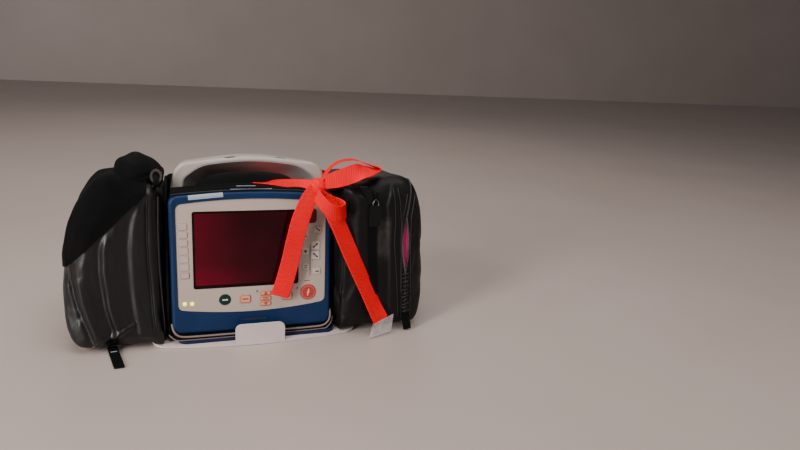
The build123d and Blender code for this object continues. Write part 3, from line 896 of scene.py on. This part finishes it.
def right_relief(place, normal):
    z = place.z
    lines = {name: along_line(line, z) for name, line in RIGHT_LINES.items()}
    fold, first, second, gusset = (lines[n] for n in ("fold", "first seam", "second seam", "gusset"))
    stops = [
        (gusset - 4, 0.2), (gusset, -0.6), (gusset + 4, 0.6), (143, 2.2), (fold - 14, 1.4),
        (fold - 1, -1.4), (fold + 4, 1.4), (first - 1, 0.4), (second + 1, -0.6), (second + 6, 0.8),
        (211, 0.2), (217, 0.2), (222, 1.2), (227, 0.6),
    ]
    lift = profile(place.x, stops)
    faded = smooth_between(4, 26, z) * smooth_between(228, 205, z)
    facing = smooth_between(0.35, 0.85, -normal.y)
    return Vector((0, -1, 0)) * lift * faded * facing


def wander(place, size, seed):
    """Slow uneven number from -1 to 1, the same on every run."""
    x, y, z = place / size
    return (
        sin(1.9 * x + 0.7 * y + seed) * cos(1.3 * z - 0.9 * y + 2 * seed)
        + 0.5 * sin(3.7 * z + 2.1 * x - seed) * cos(2.9 * y + 1.7 * x + seed)
    ) / 1.5


def slack(depth, size, seed):
    """Uneven fabric: a sculpting move in and out along the normal."""
    return lambda place, normal: normal * depth * wander(place, size, seed)


# The pockets' foot, and the planes that cut off their lids
FOOT = 0.5
ZIP_PLANES = {"left": -204.0, "right": 214.0}
# Where each zip runs down the pocket's front: z, x
ZIP_LINES = {
    "left": [
        (212, -204), (190, -213), (160, -223), (130, -226), (107, -223.5), (96, -222.5), (78, -219.5),
        (60, -215.5), (41, -209.5), (25, -204.5), (11, -200), (5, -204),
    ],
    "right": [(205, 214), (172, 209), (135, 209.5), (107, 211.5), (81, 213), (20, 216), (5, 214)],
}


def zip_shift(side, place):
    """How far x moves to bring the front's zip line onto the cutting plane."""
    forward = smooth_between(-62, -80, place.y)
    return (ZIP_PLANES[side] - along_line(ZIP_LINES[side], place.z)) * forward


def zip_straight(side, sign):
    """Draw the zip onto its cutting plane with sign 1, and back with sign -1."""
    return lambda place, normal: Vector((sign * zip_shift(side, place), 0, 0))


# Where the right zip stands open, and how far aside its edges are there
SLIT_FOOT = 88
SLIT_TOP = 172
SLIT_REACH = 4.9
# The pockets' front faces lie before this, and rays at them start well ahead
FRONT_Y = -80
AHEAD_Y = -170


def slit(way):
    """Draw the zip's edge to one side where the zip stands open."""
    def move(place, normal):
        if not SLIT_FOOT < place.z < SLIT_TOP or place.y > FRONT_Y:
            return Vector()
        lens = sin(pi * (place.z - SLIT_FOOT) / (SLIT_TOP - SLIT_FOOT))
        near = smooth_between(13, 0, abs(place.x - along_line(ZIP_LINES["right"], place.z)))
        return Vector((way * SLIT_REACH * lens * near, 0, 0))
    return move


# Pitch of the teeth, and how far back they reach before the fabric hinge
TOOTH_PITCH = 2.6
TEETH_END_Y = 52


def zip_rows(name, piece, way, body):
    """Teeth round the open rim of one half of a pocket, shifted one way into the gap."""
    tooth = block("tooth", (0, 0, 0), (2.4, 1.0, 1.6))
    edit(tooth)
    bpy.ops.mesh.bevel(offset=0.35 * MM, segments=1)
    bpy.ops.object.mode_set(mode="OBJECT")
    rim = longest_rim(piece)
    centre = sum(rim, Vector()) / len(rim)
    pieces = []
    for place, direction in evenly(rim, TOOTH_PITCH * MM):
        if place.y > TEETH_END_Y * MM:
            continue
        out = place - centre
        out -= direction * out.dot(direction)
        out.x = 0
        if out.length < 1e-6:
            continue
        out.normalize()
        across = direction.cross(out).normalized()
        pieces.append(duplicate(tooth, "tooth"))
        shift = out * 0.2 * MM + Vector((way * 0.5 * MM, 0, 0))
        pieces[-1].matrix_world = stood(place + shift, across, direction, out)
    bpy.data.objects.remove(tooth)
    finish_piece(done(join(name, pieces)), "zip_teeth", "clip_plastic", body=body)


def hinge_groove(side, depth):
    """The back draws in along the seam that the lid turns about."""
    def move(place, normal):
        near = smooth_between(13, 2, abs(place.x - ZIP_PLANES[side]))
        return Vector((0, -depth * near * smooth_between(38, 56, place.y), 0))
    return move


def make_pocket(side):
    left = side == "left"
    cut = ZIP_PLANES[side]
    outward = -1 if left else 1
    if left:
        form = pouch("left_pouch", LEFT_OUTLINE, front=-91.0, back=70.0, rounding=17.0, top=229.0)
    else:
        form = pouch("right_pouch", RIGHT_OUTLINE, front=-101.0, back=64.0, rounding=17.0, top=227.0)
    settle(form, voxel=3.6, rounds=3)
    puff(form, pressure=3.0, reach=2.5)
    divide(form)
    sculpt(form, slack(depth=0.9, size=26.0, seed=1.0 if left else 2.3))
    sculpt(form, hinge_groove(side, depth=5.0))
    if left:
        flap = duplicate(form, "left_flap_inner")
    sculpt(form, left_relief if left else right_relief)
    sculpt(form, lambda place, normal: Vector((0, 0, max(FOOT - place.z, 0))))
    sculpt(form, zip_straight(side, 1))
    lid = duplicate(form, side + "_lid_cover")
    form.name = side + "_pocket_shell"
    gap = outward * 0.35
    bisect(form, at(cut - gap, 0, 0), (outward, 0, 0), True)
    bisect(lid, at(cut + gap, 0, 0), (outward, 0, 0), False)
    for piece, way, body, node in (
        (form, outward, "root", side + "_pocket_body"),
        (lid, -outward, side + "_lid", side + "_pocket_lid"),
    ):
        sculpt(piece, zip_straight(side, -1))
        if not left:
            sculpt(piece, slit(-way))
        zip_rows(piece.name + "_teeth", piece, way, body)
        paint(piece, "coated_black" if left else "coated_side")
        piece.data.materials.append(finishes["pocket_inner"].material)
        inside = {"material_offset": 1, "material_offset_rim": 0}
        modify(piece, "SOLIDIFY", thickness=1.8 * MM, offset=-1.0, **inside)
        smooth(piece)
        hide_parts(node)
        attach(piece, body)
    if left:
        make_left_flap(flap)


def make_left_flap(inner):
    """Matte cover over the left pocket's top, cut on a slant across its front."""
    inner_end_x = -131
    bisect(inner, at(FLAP_X, 0, FLAP_Z), Vector((1.0, 0, -FLAP_SLOPE)).normalized(), True)
    bisect(inner, at(inner_end_x, 0, 0), (1, 0, 0), True)
    sculpt(inner, lambda place, normal: normal * (0.7 + 0.5 * smooth_between(2, -14, flap_side(place))))
    sculpt(inner, hinge_groove("left", depth=2.4))
    sculpt(inner, zip_straight("left", 1))
    outer = duplicate(inner, "left_flap_outer")
    cut, gap = ZIP_PLANES["left"], 0.2
    bisect(inner, at(cut + gap, 0, 0), (-1, 0, 0), True)
    bisect(outer, at(cut - gap, 0, 0), (-1, 0, 0), False)
    for piece, body in ((inner, "root"), (outer, "left_lid")):
        sculpt(piece, zip_straight("left", -1))
        modify(piece, "SOLIDIFY", thickness=1.2 * MM, offset=1.0)
        smooth(piece)
        finish_piece(piece, "nylon_black", "case_fabric", body=body)


# Case panels and shoulder roll

def soften(node, name, voxel, rounds, finish):
    """A padded panel with the place and outline of its node."""
    piece = node_copy(node, name)
    settle(piece, voxel, rounds)
    divide(piece)
    sculpt(piece, slack(depth=0.35, size=30.0, seed=4.0))
    smooth(piece)
    finish_piece(piece, finish, "case_fabric", node)


def crown(place, normal):
    """The padded cover bulges up behind the handle."""
    half_width, height = 108, 13
    across = cos(pi / 2 * min(abs(place.x) / half_width, 1))
    along = smooth_between(22, 60, place.y) * smooth_between(98, 84, place.y)
    return Vector((0, 0, height * across * along))


def make_case():
    for node, name, voxel, rounds, finish in (
        ("case_bottom_panel", "case_floor", 3.0, 3, "padding_black"),
        ("case_left_panel", "case_left_wall", 2.8, 2, "nylon_black"),
        ("case_right_panel", "case_right_wall", 2.8, 2, "nylon_black"),
        ("case_back_panel", "case_back_wall", 2.8, 2, "nylon_back"),
        ("case_top_panel", "case_cover", 2.4, 2, "padding_black"),
        ("case_top_strip", "case_collar", 2.2, 3, "padding_black"),
    ):
        soften(node, name, voxel, rounds, finish)
    sculpt(bpy.data.objects["case_cover"], crown)


def make_roll():
    """Rolled shoulder pad lying as a soft lump on the left pocket's top."""
    middle_x, middle_z = -141, 224
    turn = (radians(8), radians(11), radians(-6))
    piece = ball("shoulder_roll", at(middle_x, -36, middle_z), (31, 40, 25), turn, 72, 44)

    def lump(place, normal):
        x, z = place.x - middle_x, place.z - middle_z
        flat = -0.22 * max(x, 0) * smooth_between(224, 240, place.z)
        fold = 0.8 * sin(0.22 * place.x + 0.12 * place.z + 0.1 * place.y)
        groove = -1.6 * smooth_between(3.4, 0.4, abs(z - 0.32 * x))
        return normal * (fold + groove + 0.9 * wander(place, 21.0, 3.1)) + Vector((0, 0, flat))

    sculpt(piece, lump)
    modify(piece, "SMOOTH", factor=0.5, iterations=2)
    smooth(piece)
    finish_piece(piece, "nylon_black", "case_fabric", "shoulder_strap_roll")
    stations = [
        (*place, 1, 0, 0, 0.7)
        for place in (
            (-122, -60, 226), (-120, -76, 225.8), (-119, -84, 225.4), (-119, -90, 225), (-119, -92.2, 221.6),
            (-119, -90, 218.4), (-119, -82, 216.5), (-119, -72, 213),
        )
    ]
    web = ("web_black", "black_webbing")
    ribbon("ring_tab", stations, 10.0, 1.0, *web, held="gathered", rests_on=["shoulder_roll"])


# Fabric hinges of the two lids

def row_of_backs(shells, places, z):
    """How far back a pocket reaches along a level row; empty for a row that runs off it."""
    start_y, least_y = 0.3, 0.05
    backs = []
    for x in places:
        hits = [tree.ray_cast(Vector((x, start_y, z)), Vector((0, -1, 0)))[0] for tree in shells]
        found = [hit.y for hit in hits if hit and hit.y > least_y]
        backs.append(max(found) if found else None)
    if backs[0] is None or backs[-1] is None:
        return []
    for index in range(1, len(backs)):
        if backs[index] is None:
            backs[index] = backs[index - 1]
    return backs


# The lids' axes and the way outward: x, y, way
HINGES = {"left": (-210.5, 72.5, -1), "right": (207.5, 66.5, 1)}
HINGE_WIDTH = 26
HINGE_FOOT = 20
HINGE_HEIGHT = 172


def make_hinges():
    """Webbing laid over both halves of each pocket's back, over the seam that the lid turns about."""
    columns, rows = 16, 44
    for side, (x, y, outward) in HINGES.items():
        shells = [tree_of(bpy.data.objects[side + name]) for name in ("_pocket_shell", "_lid_cover")]
        shares = [outward * (column / columns - 0.5) for column in range(columns + 1)]
        places = [(x + share * HINGE_WIDTH) * MM for share in shares]
        points = []
        for row in range(rows + 1):
            z = (HINGE_FOOT + HINGE_HEIGHT * row / rows) * MM
            backs = row_of_backs(shells, places, z)
            points += [Vector((place, back + 0.7 * MM, z)) for place, back in zip(places, backs)]
        strip = sheet_from(side + "_hinge_strip", points, columns)
        map_flat(strip)
        modify(strip, "SMOOTH", factor=0.5, iterations=4)
        modify(strip, "SOLIDIFY", thickness=1.1 * MM, offset=0.0)
        smooth(strip)
        paint(strip, "web_black")
        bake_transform(strip)


# Tie strap: name, node, how it is held, what it rests on, stations
STRAP_BANDS = (
    ("bow_upper", "strap_loop_upper", "folded", "bow_knot", (
        (88, -88, 220, 0.1, 0.95, 0.1, 0.7), (98, -82, 234, 0.15, 0.96, -0.05, 0.95),
        (113, -80, 246, 0.2, 0.95, -0.08, 1.0), (134, -80, 249.5, 0.2, 0.95, -0.12, 1.0),
        (156, -82, 243, 0.2, 0.95, -0.2, 1.0), (172, -88, 237.5, 0.25, 0.94, -0.27, 1.0),
        (158, -98, 236.5, 0.2, 0.92, 0.2, 1.0), (144, -102, 237, 0.1, 0.8, 0.5, 1.0),
        (131, -104, 235.5, 0.0, 0.3, 0.95, 1.0), (110, -103, 228.5, -0.05, 0.15, 0.98, 0.95),
        (92, -97, 222, -0.05, 0.1, 0.99, 0.7),
    )),
    ("bow_lower", "strap_loop_lower", "folded", "bow_knot", (
        (85, -95, 207, 0.1, -0.3, 0.95, 0.7), (97, -98, 195, 0.15, -0.35, 0.9, 0.95),
        (109, -101, 191, 0.05, -0.4, 0.9, 1.0), (117.5, -107, 188, -0.1, -0.45, 0.88, 1.0),
        (117, -114, 186, -0.25, -0.45, 0.86, 1.0), (109, -119, 185, -0.25, -0.45, 0.86, 1.0),
        (97, -119, 188, -0.1, -0.45, 0.88, 1.0), (87, -113, 196, 0.2, -0.4, 0.9, 0.85),
        (80, -102, 206, 0.3, -0.3, 0.9, 0.65),
    )),
    ("tail_left", "strap_tail_left", "hung", "bow_knot", (
        (80, -94, 215, 0.9, 0.1, -0.3, 0.75), (70.5, -97.5, 199, 0.95, 0.0, -0.31, 0.9),
        (60, -98.5, 171, 0.95, 0.0, -0.31, 0.98), (53, -98, 141, 0.95, 0.05, -0.31, 1.0),
        (47, -97, 111, 0.95, 0.0, -0.31, 1.0), (40, -96.5, 83, 0.95, -0.06, -0.31, 1.0),
        (33.5, -97, 63, 0.95, 0.0, -0.31, 1.0),
    )),
    ("tail_right", "strap_tail_right", "hung", "bow_knot", (
        (92, -101, 203, 0.8, 0.1, 0.5, 0.7), (100, -107, 187, 0.85, 0.25, 0.42, 0.95),
        (111, -110, 163, 0.80, 0.45, 0.38, 1.0), (124, -110.5, 134, 0.8, 0.4, 0.38, 1.0),
        (139, -110.5, 101, 0.80, 0.45, 0.38, 1.0), (154, -111, 69, 0.8, 0.5, 0.4, 1.0),
        (167, -111.5, 41, 0.80, 0.45, 0.38, 1.0), (177, -113, 21, 0.85, 0.3, 0.38, 1.0),
    )),
    ("strap_round_leg", "strap_wrap", "gathered", "case_collar", (
        (82, -77, 214, 0.1, 0.6, 0.75, 0.6), (66, -64, 211.2, 0.05, 0.85, 0.5, 0.9),
        (46, -58, 212.6, 0.1, 0.95, 0.2, 1.0), (27, -50, 212.3, 0.35, 0.93, 0.0, 1.0),
        (12, -40, 208, 0.75, 0.6, -0.25, 1.0), (6, -26, 199, 0.95, 0.2, -0.2, 1.0),
        (9, -8, 193, 0.95, -0.3, 0.0, 0.9), (22, 9, 191.6, 0.6, -0.8, 0, 0.7),
        (42, 16.5, 191.6, 0.1, -1, 0, 0.6), (70, 18, 191.6, 0, -1, 0, 0.6),
        (92, 18, 193.5, 0, -0.9, 0.4, 0.8), (106, 12, 203, 0.1, -0.35, 0.93, 1.0),
        (109.3, -6, 208, 0, -0.05, 1, 1.0), (109.3, -40, 210, 0, 0.1, 1, 1.0),
        (102, -68, 216, 0, 0.3, 0.9, 0.7),
    )),
)


def make_strap():
    width, thickness = 25.0, 1.3
    for name, node, held, below, stations in STRAP_BANDS:
        strap = ("strap_red", "tie_strap", node)
        ribbon(name, stations, width, thickness, *strap, held=held, rests_on=[below])


def make_knot():
    """The turn of webbing that holds the bow, with folds pulled in across it."""
    middle_x, middle_z = 86, 215
    piece = ball("bow_knot", at(middle_x, -90, middle_z), (13, 11, 11.5), (0, radians(24), 0), 48, 28)

    def gather(place, normal):
        x, z = place.x - middle_x, place.z - middle_z
        across = x * 0.5 + z * 0.86
        fold = sin(across * 1.15 + 0.8 * sin(place.x * 0.4)) * 0.75
        flank = 0.64 * smooth_between(3, 9, abs(x))
        return normal * (fold - flank)

    sculpt(piece, gather)
    smooth(piece)
    map_flat(piece)
    finish_piece(piece, "strap_red", "tie_strap", "strap_knot")


def make_tag():
    """Clear tape folded over the right tail's end, its foot on the surface."""
    stations = (
        (179.2, -115.2, 24.5, 0.93, 0.3, 0.25, 1.0), (178.0, -116.0, 18.5, 0.93, 0.28, 0.22, 1.0),
        (176.0, -118.0, 10, 0.94, 0.28, 0.15, 1.0), (173.8, -120.2, 3.0, 0.955, 0.28, 0.08, 1.0),
    )
    tape = ("tape_clear", "clear_tape", "tape_tag")
    ribbon("tape_fold", stations, 37.0, 0.7, *tape, held="folded", rests_on=["tail_right"])


def make_pulls():
    left = (
        (-181, -87, 4, 1, 0.1, 0.0, 1.0), (-179.5, -95, 3, 1, 0.15, 0.05, 1.0),
        (-176, -110, 1.6, 1, 0.2, 0.0, 1.0), (-172, -128, 1.3, 1, 0.2, 0.0, 1.0),
        (-169, -142, 1.3, 1, 0.1, 0, 1.0),
    )
    web = ("web_black", "black_webbing")
    ribbon("left_pull", left, 12.5, 1.5, *web, "left_zip_pull", held="laid", rests_on=["floor"])
    stitch = block("left_pull_stitch", at(-178.2, -101.5, 3.6), (7.5, 1.2, 0.5), (12, 0, 9))
    modify(stitch, "BEVEL", width=0.2 * MM, segments=2)
    finish_piece(stitch, "label_pale", "clip_plastic")
    right = (
        (214.5, -104.8, 27, 0.97, 0, 0.2, 0.9), (216, -106.3, 20, 0.97, 0, 0.2, 1.0),
        (218, -107, 11, 0.97, 0, 0.2, 1.0), (220, -107, 2, 0.97, 0, 0.15, 1.0),
    )
    ribbon("right_pull", right, 12.0, 1.6, *web, "right_zip_pull", rests_on=["right_pocket_shell"])


# Small fittings

def patch_on(name, node, u, v, width, height, turn, finish, slot):
    """A thin sheet that follows the surface of a node, used for a label and for a strip of painted shade."""
    deselect()
    bpy.ops.mesh.primitive_grid_add(x_subdivisions=24, y_subdivisions=6, size=1)
    piece = named(name)
    piece.scale = (width * MM, height * MM, 1)
    done(piece)
    ahead = 12
    put_on_face(piece, u, v, ahead, turn)
    modify(
        piece, "SHRINKWRAP", target=nodes[node], wrap_method="PROJECT", use_project_z=True,
        use_negative_direction=True, use_positive_direction=False, offset=0.25 * MM,
    )
    done(piece)
    modify(piece, "SOLIDIFY", thickness=0.25 * MM, offset=-1.0)
    smooth(piece, 50)
    finish_piece(piece, finish, slot)


def triangle(u, v, size, turn):
    """Small raised triangle on a key."""
    deselect()
    bpy.ops.mesh.primitive_cylinder_add(vertices=3, radius=size * MM, depth=0.25 * MM)
    piece = bpy.context.object
    put_on_face(piece, u, v, 0, turn)
    return done(piece)


def dot(u, v, radius, low=-0.4, high=0.05, rim=0.0):
    """Small raised disc on the face, or only its rim."""
    deselect()
    bpy.ops.mesh.primitive_circle_add(vertices=32, radius=radius * MM, fill_type="NGON")
    piece = bpy.context.object
    edit(piece)
    return raise_plate(piece, u, v, low, high, rim)


def bars(*places):
    """Small raised bars on keys from u, v, width, height and the turn in degrees."""
    return [
        face_plate(u, v, width, height, min(width, height) * 0.3, turn, -0.5, -0.1)
        for u, v, width, height, turn in places
    ]


def make_key_marks():
    """Marks on the keys, none of them a letter."""
    dark = bars(
        (86.8, 137.4, 6.2, 1.2, -35), (89.4, 135.2, 2.0, 1.8, -35), (70.9, 127.6, 4.4, 1.0, -20),
        (84.2, 113.9, 6.6, 1.3, 40), (82.0, 111.9, 2.6, 2.3, 40), (86.4, 115.9, 2.6, 2.3, 40),
        (84.4, 100.1, 6.6, 1.3, -40), (82.2, 102.1, 2.6, 2.3, -40), (86.6, 98.1, 2.6, 2.3, -40),
        (71.0, 85.6, 5.6, 0.7, 0), (71.0, 82.6, 4.8, 0.7, 0), (86.6, 76.7, 4.6, 1.6, 0),
        (4.2, 53.0, 1.4, 2.2, 12), (59.2, 54.0, 1.4, 2.2, -12), (77.6, 155.0, 5.0, 1.2, 45),
        (77.6, 155.0, 5.0, 1.2, -45), (77.0, 92.5, 0.35, 44.0, 0),
    )
    dark += [dot(70.5, 106.2, 1.9), triangle(88.6, 76.7, 1.5, 90)]
    finish_piece(join("marks_dark", dark), "ink_dark", "key_plain")
    red = bars(
        (-11.4, 43.0, 8.4, 2.0, 0), (45.4, 42.9, 8.0, 2.0, 0),
        (15.8, 43.2, 8.0, 1.1, 0), (15.8, 41.0, 8.0, 1.1, 0),
    )
    red += [triangle(15.8, 49.2, 3.0, 0), triangle(15.8, 35.0, 3.0, 180)]
    for u, v, width, height, corner, rim in (
        (-11.4, 43.0, 13.4, 10.8, 2.2, 0.7),
        (45.4, 42.9, 13.4, 9.4, 2.2, 0.7),
        (15.8, 49.6, 13.8, 5.6, 1.6, 0.6),
        (15.8, 42.1, 13.8, 5.6, 1.0, 0.6),
        (15.8, 34.6, 13.8, 5.6, 1.6, 0.6),
    ):
        red.append(face_plate(u, v, width, height, corner, 0.0, -0.5, -0.12, rim))
    red.append(face_plate(73.3, 63.6, 8.6, 1.2, 0.3, 0.0, -1.3, -1.05))
    finish_piece(join("marks_red", red), "ink_red", "key_red")
    pale = bars(
        (-38.2, 43.6, 7.4, 1.9, 0), (75.2, 49.4, 1.5, 4.6, -14), (74.7, 46.9, 3.8, 1.4, 20),
        (74.2, 44.2, 1.5, 4.6, -14),
    )
    finish_piece(join("marks_pale", pale), "ink_pale", "key_plain")
    rings = [dot(74.7, 46.9, 12.0, -1.35, -1.05, 1.3), dot(74.7, 46.9, 9.3, -0.5, -0.14, 0.9)]
    finish_piece(join("shock_halo", rings), "halo_rose", "key_red")
    outline = face_plate(-88.7, 80.4, 10.4, 7.6, 1.4, 0.0, -0.5, -0.18, 0.4)
    outline.name = "softkey_outline"
    finish_piece(outline, "ink_brown", "key_plain")


def make_labels():
    """A blank label on the bumper's top band, two thin pale strips on the collar as painted glints, and a
    dark strip at the bumper's foot as the painted shade of its slot.
    """
    patch_on("label_band", "bumper_frame", -60.2, 185.7, 43.6, 5.9, 4.7, "label_pale", "key_plain")
    # A dark strip at the bumper's foot: painted shade of its slot
    patch_on("bumper_slot", "bumper_frame", 0.2, 14.1, 34.7, 1.6, 0.0, "ink_dark", "bumper_rubber")
    # Two thin pale strips on the collar: painted glints
    strips = [
        block("label", at(-2, -76.9, 209.0), (53.6, 1.9, 0.3), (72, 0, 0)),
        block("label", at(-8, -68.0, 211.9), (25.2, 1.9, 0.3), (6, 0, 0)),
    ]
    piece = join("label_strips", strips)
    modify(piece, "BEVEL", width=0.12 * MM, segments=2)
    finish_piece(piece, "label_pale", "key_plain")


def make_handle_slots():
    """Two short dark ovals in the front of the handle's crown: painted shade of its two slots."""
    tree = tree_of(nodes["handle_shell"])
    ahead_y, handle_y, rise = -260, -20, 66
    slots = []
    for x, z in ((-25.9, 240.2), (42.0, 239.4)):
        start = at(x, ahead_y, z + rise)
        hit, normal = tree.ray_cast(start, (at(x, handle_y, z) - start).normalized())[:2]
        along = (Vector((1, 0, 0)) - normal * normal.x).normalized()
        turn = Matrix((along, normal.cross(along), normal)).transposed().to_euler()
        slots.append(ball("slot", hit, (8.0, 3.4, 0.6), turn, 24, 12))
    piece = join("handle_slots", slots)
    smooth(piece)
    finish_piece(piece, "ink_dark", "grip_rubber")


def make_piping():
    """Bound edges of the case's mouth and of the pockets."""
    upper = path(
        (107.0, -86.0, 34), (106.6, -91.0, 29), (105.2, -94.2, 23.5), (102.0, -95.4, 18), (95, -95.9, 13.9),
        (80, -96.0, 12.9), (40, -96.1, 12.6), (0, -96.1, 12.5), (-40, -96.1, 12.5), (-80, -96.0, 12.7),
        (-95, -95.9, 13.8), (-102.0, -95.0, 17.5), (-105.6, -92.0, 23), (-107.0, -87.0, 29),
    )
    lower = path(
        (110.5, -89.0, 24), (108.0, -93.0, 17), (102, -94.9, 10.5), (90, -95.3, 8.4), (0, -95.3, 7.7),
        (-90, -95.3, 7.9), (-103, -94.9, 9.6), (-111, -92.0, 16),
    )
    piece = join("case_piping", [tube("piping_upper", upper, 1.3), tube("piping_lower", lower, 0.8)])
    finish_piece(piece, "piping_beige", "case_fabric")
    left = path(
        (-117.5, -91.4, 205), (-119.2, -92.0, 160), (-119.4, -92.0, 118), (-118.2, -91.8, 84),
        (-116.2, -91.0, 40), (-116, -88, 16),
    )
    finish_piece(tube("left_binding", left, 0.9), "binding_black", "case_leatherette")
    collar = path(
        (-103.5, -75.8, 203.0), (-80, -76.6, 205.3), (-40, -77.0, 208.0), (0, -77.1, 208.9),
        (40, -77.0, 208.0), (80, -76.6, 205.3), (103.5, -75.8, 203.0),
    )
    finish_piece(tube("collar_binding", collar, 0.9), "binding_black", "case_fabric")


def front_at(tree, x, z):
    """Where a pocket's front stands at x and z."""
    return tree.ray_cast(at(x, AHEAD_Y, z), Vector((0, 1, 0)))[0]


def seam_piping(name, shell, lines, radius, body="root"):
    """Thin round piping laid on the front of a pocket along (z, x) lines."""
    pitch, back_y = 6, -70
    tree = tree_of(bpy.data.objects[shell])
    pieces = []
    for line in lines:
        top, foot = line[0][0], line[-1][0]
        steps = int((top - foot) / pitch)
        points = []
        for step in range(steps + 1):
            z = top + (foot - top) * step / steps
            hit = front_at(tree, along_line(line, z), z)
            if hit and hit.y < back_y * MM:
                points.append(hit + Vector((0, -0.25 * radius * MM, 0)))
        pieces.append(tube("piping", points, radius))
    finish_piece(join(name, pieces), "binding_black", "case_fabric", body=body)


def beside_zip(shift, foot_x):
    """A line beside the right pocket's zip, with its own end at the foot."""
    return [(z, x + shift) for z, x in ZIP_LINES["right"] if z > 10] + [(12, foot_x)]


def make_seams():
    left = [LEFT_LINES[name] for name in ("first gusset", "second gusset")]
    seam_piping("left_seams", "left_pocket_shell", left, 0.9)
    right = [RIGHT_LINES[name] for name in ("first seam", "second seam", "gusset")]
    seam_piping("right_seams", "right_pocket_shell", right, 0.85)
    seam_piping("right_lid_seam", "right_lid_cover", [beside_zip(7.5, 223)], 0.8, "right_lid")
    seam_piping("right_tape_seam", "right_pocket_shell", [beside_zip(-5.5, 210)], 0.7)


# Fittings of the right pocket

def make_zip_coil():
    """Uneven coil hanging below the open zip."""
    turns, steps = 11, 260
    top, height, middle_y, radius, depth = 89, 63, -104.9, 4.1, 2.0
    coil = []
    for step in range(steps):
        share = step / (steps - 1)
        turn = 2 * pi * share * turns + 0.6 * sin(23 * share)
        z = top - share * height + 0.6 * sin(61 * share)
        reach = (radius + 0.5 * sin(37 * share)) * cos(turn) + 0.8 * sin(29 * share)
        coil.append(at(along_line(ZIP_LINES["right"], z) + reach, middle_y - depth * sin(turn), z))
    finish_piece(tube("right_zip_coil", coil, 1.15, sides=6), "zip_coil", "clip_plastic")


def make_lining():
    """Pink lining behind the open zip."""
    columns, rows = 14, 60
    foot, height, half_width, front_y, sag = 82, 96, 9.5, -100.9, 1.6
    points = []
    for row in range(rows + 1):
        z = foot + height * row / rows
        middle = along_line(ZIP_LINES["right"], z)
        for column in range(columns + 1):
            across = column / columns * 2 - 1
            fold = 0.8 * sin(5.5 * across + 0.05 * z) + 0.5 * sin(0.31 * z + 3.0 * across)
            y = front_y + sag * across * across + fold * 0.5
            points.append(at(middle + half_width * across, y, z))
    lining = sheet_from("pink_lining", points, columns)
    modify(lining, "SOLIDIFY", thickness=0.5 * MM, offset=0.0)
    smooth(lining)
    finish_piece(lining, "lining_pink", "case_fabric")


def make_hanging_strip():
    clearance = 1.3
    tree = tree_of(bpy.data.objects["right_pocket_shell"])
    stations = []
    for x, z in (
        (158.2, 163), (158.9, 148), (159.6, 134), (160.8, 119), (161.9, 104), (163.2, 90), (164.3, 76),
        (165, 60),
    ):
        y = front_at(tree, x, z).y / MM - clearance
        stations.append((x, y, z, 1, 0, -0.08, 1.0))
    web = ("web_black", "black_webbing")
    ribbon("right_strip", stations, 11.5, 1.2, *web, rests_on=["right_pocket_shell"])


def make_clip_fittings():
    """Two cords of the right pocket's clip and the ring on it."""
    first = path((157.5, -104.5, 211), (158.3, -107.2, 205), (160.2, -107.6, 198), (161.2, -107.8, 195))
    second = path((163.6, -104.5, 209), (163.2, -107.2, 204), (162.4, -107.6, 199), (161.8, -107.8, 195))
    cords = [tube("clip_cord", line, 0.8) for line in (first, second)]
    finish_piece(join("clip_cords", cords), "web_black", "black_webbing")
    steps = 24
    middle_x, y, middle_z = 161.5, -107.2, 194
    half_width, half_height, taper = 3.9, 4.9, 0.28
    ring = []
    for step in range(steps):
        turn = 2 * pi * step / steps
        x = middle_x + half_width * sin(turn) * (1 - taper * cos(turn))
        ring.append(at(x, y, middle_z + half_height * cos(turn)))
    finish_piece(tube("clip_ring", ring, 0.9, closed=True), "steel", "buckle_metal")


set_camera()
make_finishes()
make_room()
paint_monitor()
make_pocket("left")
make_pocket("right")
make_case()
make_roll()
make_strap()
make_knot()
make_tag()
make_pulls()
make_key_marks()
make_labels()
make_handle_slots()
make_piping()
make_seams()
make_zip_coil()
make_lining()
make_hanging_strip()
make_clip_fittings()
make_hinges()
